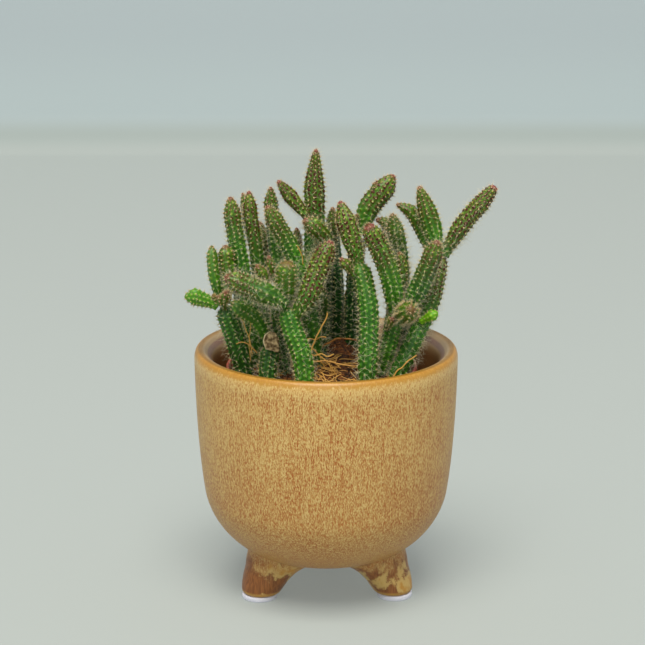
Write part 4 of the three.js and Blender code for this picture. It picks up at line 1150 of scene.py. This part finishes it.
def husk_flake():
    """A thin cupped flake in the space of its CAD solid, with a wavy torn outline."""
    low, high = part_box("dry_husk")
    centre = (low + high) / 2
    half = (high - low) / 2
    rows, steps = 10, 40
    points, rim = [], []
    for row in range(rows + 1):
        share = row / rows
        for step in range(steps):
            turn = 2 * math.pi * step / steps
            ragged = 0.98 + 0.2 * noise.noise(Vector((math.cos(turn) * 2, math.sin(turn) * 2, 4)))
            ragged += 0.5 * math.exp(-((turn - 5.4) / 0.35) ** 2)
            x = half.x * share * ragged * math.cos(turn)
            z = half.z * share * ragged * math.sin(turn)
            crease = 0.5 * MM * noise.noise(Vector((x, z, 0)) / MM * 0.6)
            curl = max(0.0, math.cos(turn - 3.3)) * share ** 3
            points.append(centre + Vector((x * (1 - 0.25 * curl), half.y * (1.1 * share ** 2 - 0.6)
                                           + crease - 1.3 * MM * curl, z)))
            rim.append(max(0.0, (share - 0.8) / 0.2) * max(0.0, min(1.0, 0.4 + math.cos(turn - 3.3))))
    faces = [(row * steps + s, row * steps + (s + 1) % steps, (row + 1) * steps + (s + 1) % steps,
              (row + 1) * steps + s) for row in range(rows) for s in range(steps)]
    flake = new_piece("dry_husk_flake", points, faces, dry_skin())
    flake.data.attributes.new("rim", "FLOAT", "POINT").data.foreach_set("value", rim)
    merged = bmesh.new()
    merged.from_mesh(flake.data)
    bmesh.ops.remove_doubles(merged, verts=merged.verts, dist=1e-5)
    bmesh.ops.recalc_face_normals(merged, faces=merged.faces)
    bmesh.ops.solidify(merged, geom=merged.faces, thickness=0.18 * MM)
    bmesh.ops.recalc_face_normals(merged, faces=merged.faces)
    merged.to_mesh(flake.data)
    merged.free()
    flake.data.shade_smooth()
    return flake


husk = husk_flake()
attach(husk, "root")
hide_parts("dry_husk")

# ------------------------------------------------------------------------------ table and light
# A pale sheet for table and wall that glows faintly, as painted light that keeps the shadows on it
# light, under a large soft light above and in front and a smaller one low in front.

WALL_DISTANCE, WALL_HEIGHT, SWEEP_RADIUS = 785 * MM, 330 * MM, 26 * MM


def sweep():
    """A floor and wall in one sheet, square in plan with round corners, the wall swept up."""
    steps, squareness = 160, 6
    bend = [(WALL_DISTANCE + SWEEP_RADIUS * (math.sin(a) - 1), SWEEP_RADIUS * (1 - math.cos(a)))
            for a in np.linspace(0, math.pi / 2, 12)]
    rows = [(60 * MM, 0), (200 * MM, 0), (400 * MM, 0)] + bend + [(WALL_DISTANCE, WALL_HEIGHT)]
    points = [(0, 0, 0)]
    for reach, height in rows:
        for turn in np.linspace(0, 2 * math.pi, steps, endpoint=False):
            c, s = math.cos(turn), math.sin(turn)
            plan = reach / (abs(c) ** squareness + abs(s) ** squareness) ** (1 / squareness)
            points.append((plan * c, plan * s, height))
    faces = [(0, 1 + s, 1 + (s + 1) % steps) for s in range(steps)]
    faces += [(1 + r * steps + s, 1 + (r + 1) * steps + s, 1 + (r + 1) * steps + (s + 1) % steps,
               1 + r * steps + (s + 1) % steps) for r in range(len(rows) - 1) for s in range(steps)]
    material, tree, shader = new_material("matt_studio_paper", 0.9, 1.45)
    place = node(tree, "ShaderNodeTexCoord").outputs["Object"]
    height = node(tree, "ShaderNodeSeparateXYZ", {0: place}).outputs["Z"]
    # Painted shade and light: the sheet is painted greyer where it turns up into the wall, painted
    # palest just above that, and a little darker again higher up.
    tone = coated(tree, colour("8b918e"), [
        (height, 0, 11 * MM, 1, colour("838b88")), (height, 11 * MM, 26 * MM, 1, colour("909a9b")),
        (height, 30 * MM, 90 * MM, 1, colour("8c9597"))])
    tree.links.new(tone, shader.inputs["Base Color"])
    # Painted light: the sheet glows in its own colour, which lifts the shadows cast on it.
    tree.links.new(tone, shader.inputs["Emission Color"])
    shader.inputs["Emission Strength"].default_value = 0.65
    return new_piece("table_and_wall", points, faces, material)


sweep()

world = bpy.data.worlds.new("room")
world.use_nodes = True
world.node_tree.nodes["Background"].inputs["Color"].default_value = colour("f3f5f8")
world.node_tree.nodes["Background"].inputs["Strength"].default_value = 0.5
bpy.context.scene.world = world


def soft_light(name, place, size, power, tint):
    """A square soft light that faces the plant."""
    light = bpy.data.objects.new(name, bpy.data.lights.new(name, "AREA"))
    light.data.size, light.data.energy = size, power
    light.data.color = colour(tint)[:3]
    light.location = place
    light.rotation_euler = (Vector((AXIS_X, 0, 0.06)) - Vector(place)).to_track_quat("-Z", "Y").to_euler()
    bpy.context.scene.collection.objects.link(light)


soft_light("overhead", (-0.1, -0.9, 2.2), 1.4, 66.0, "fffaf0")
soft_light("low", (-0.1, -1.15, 0.32), 0.5, 5.5, "fffdf8")
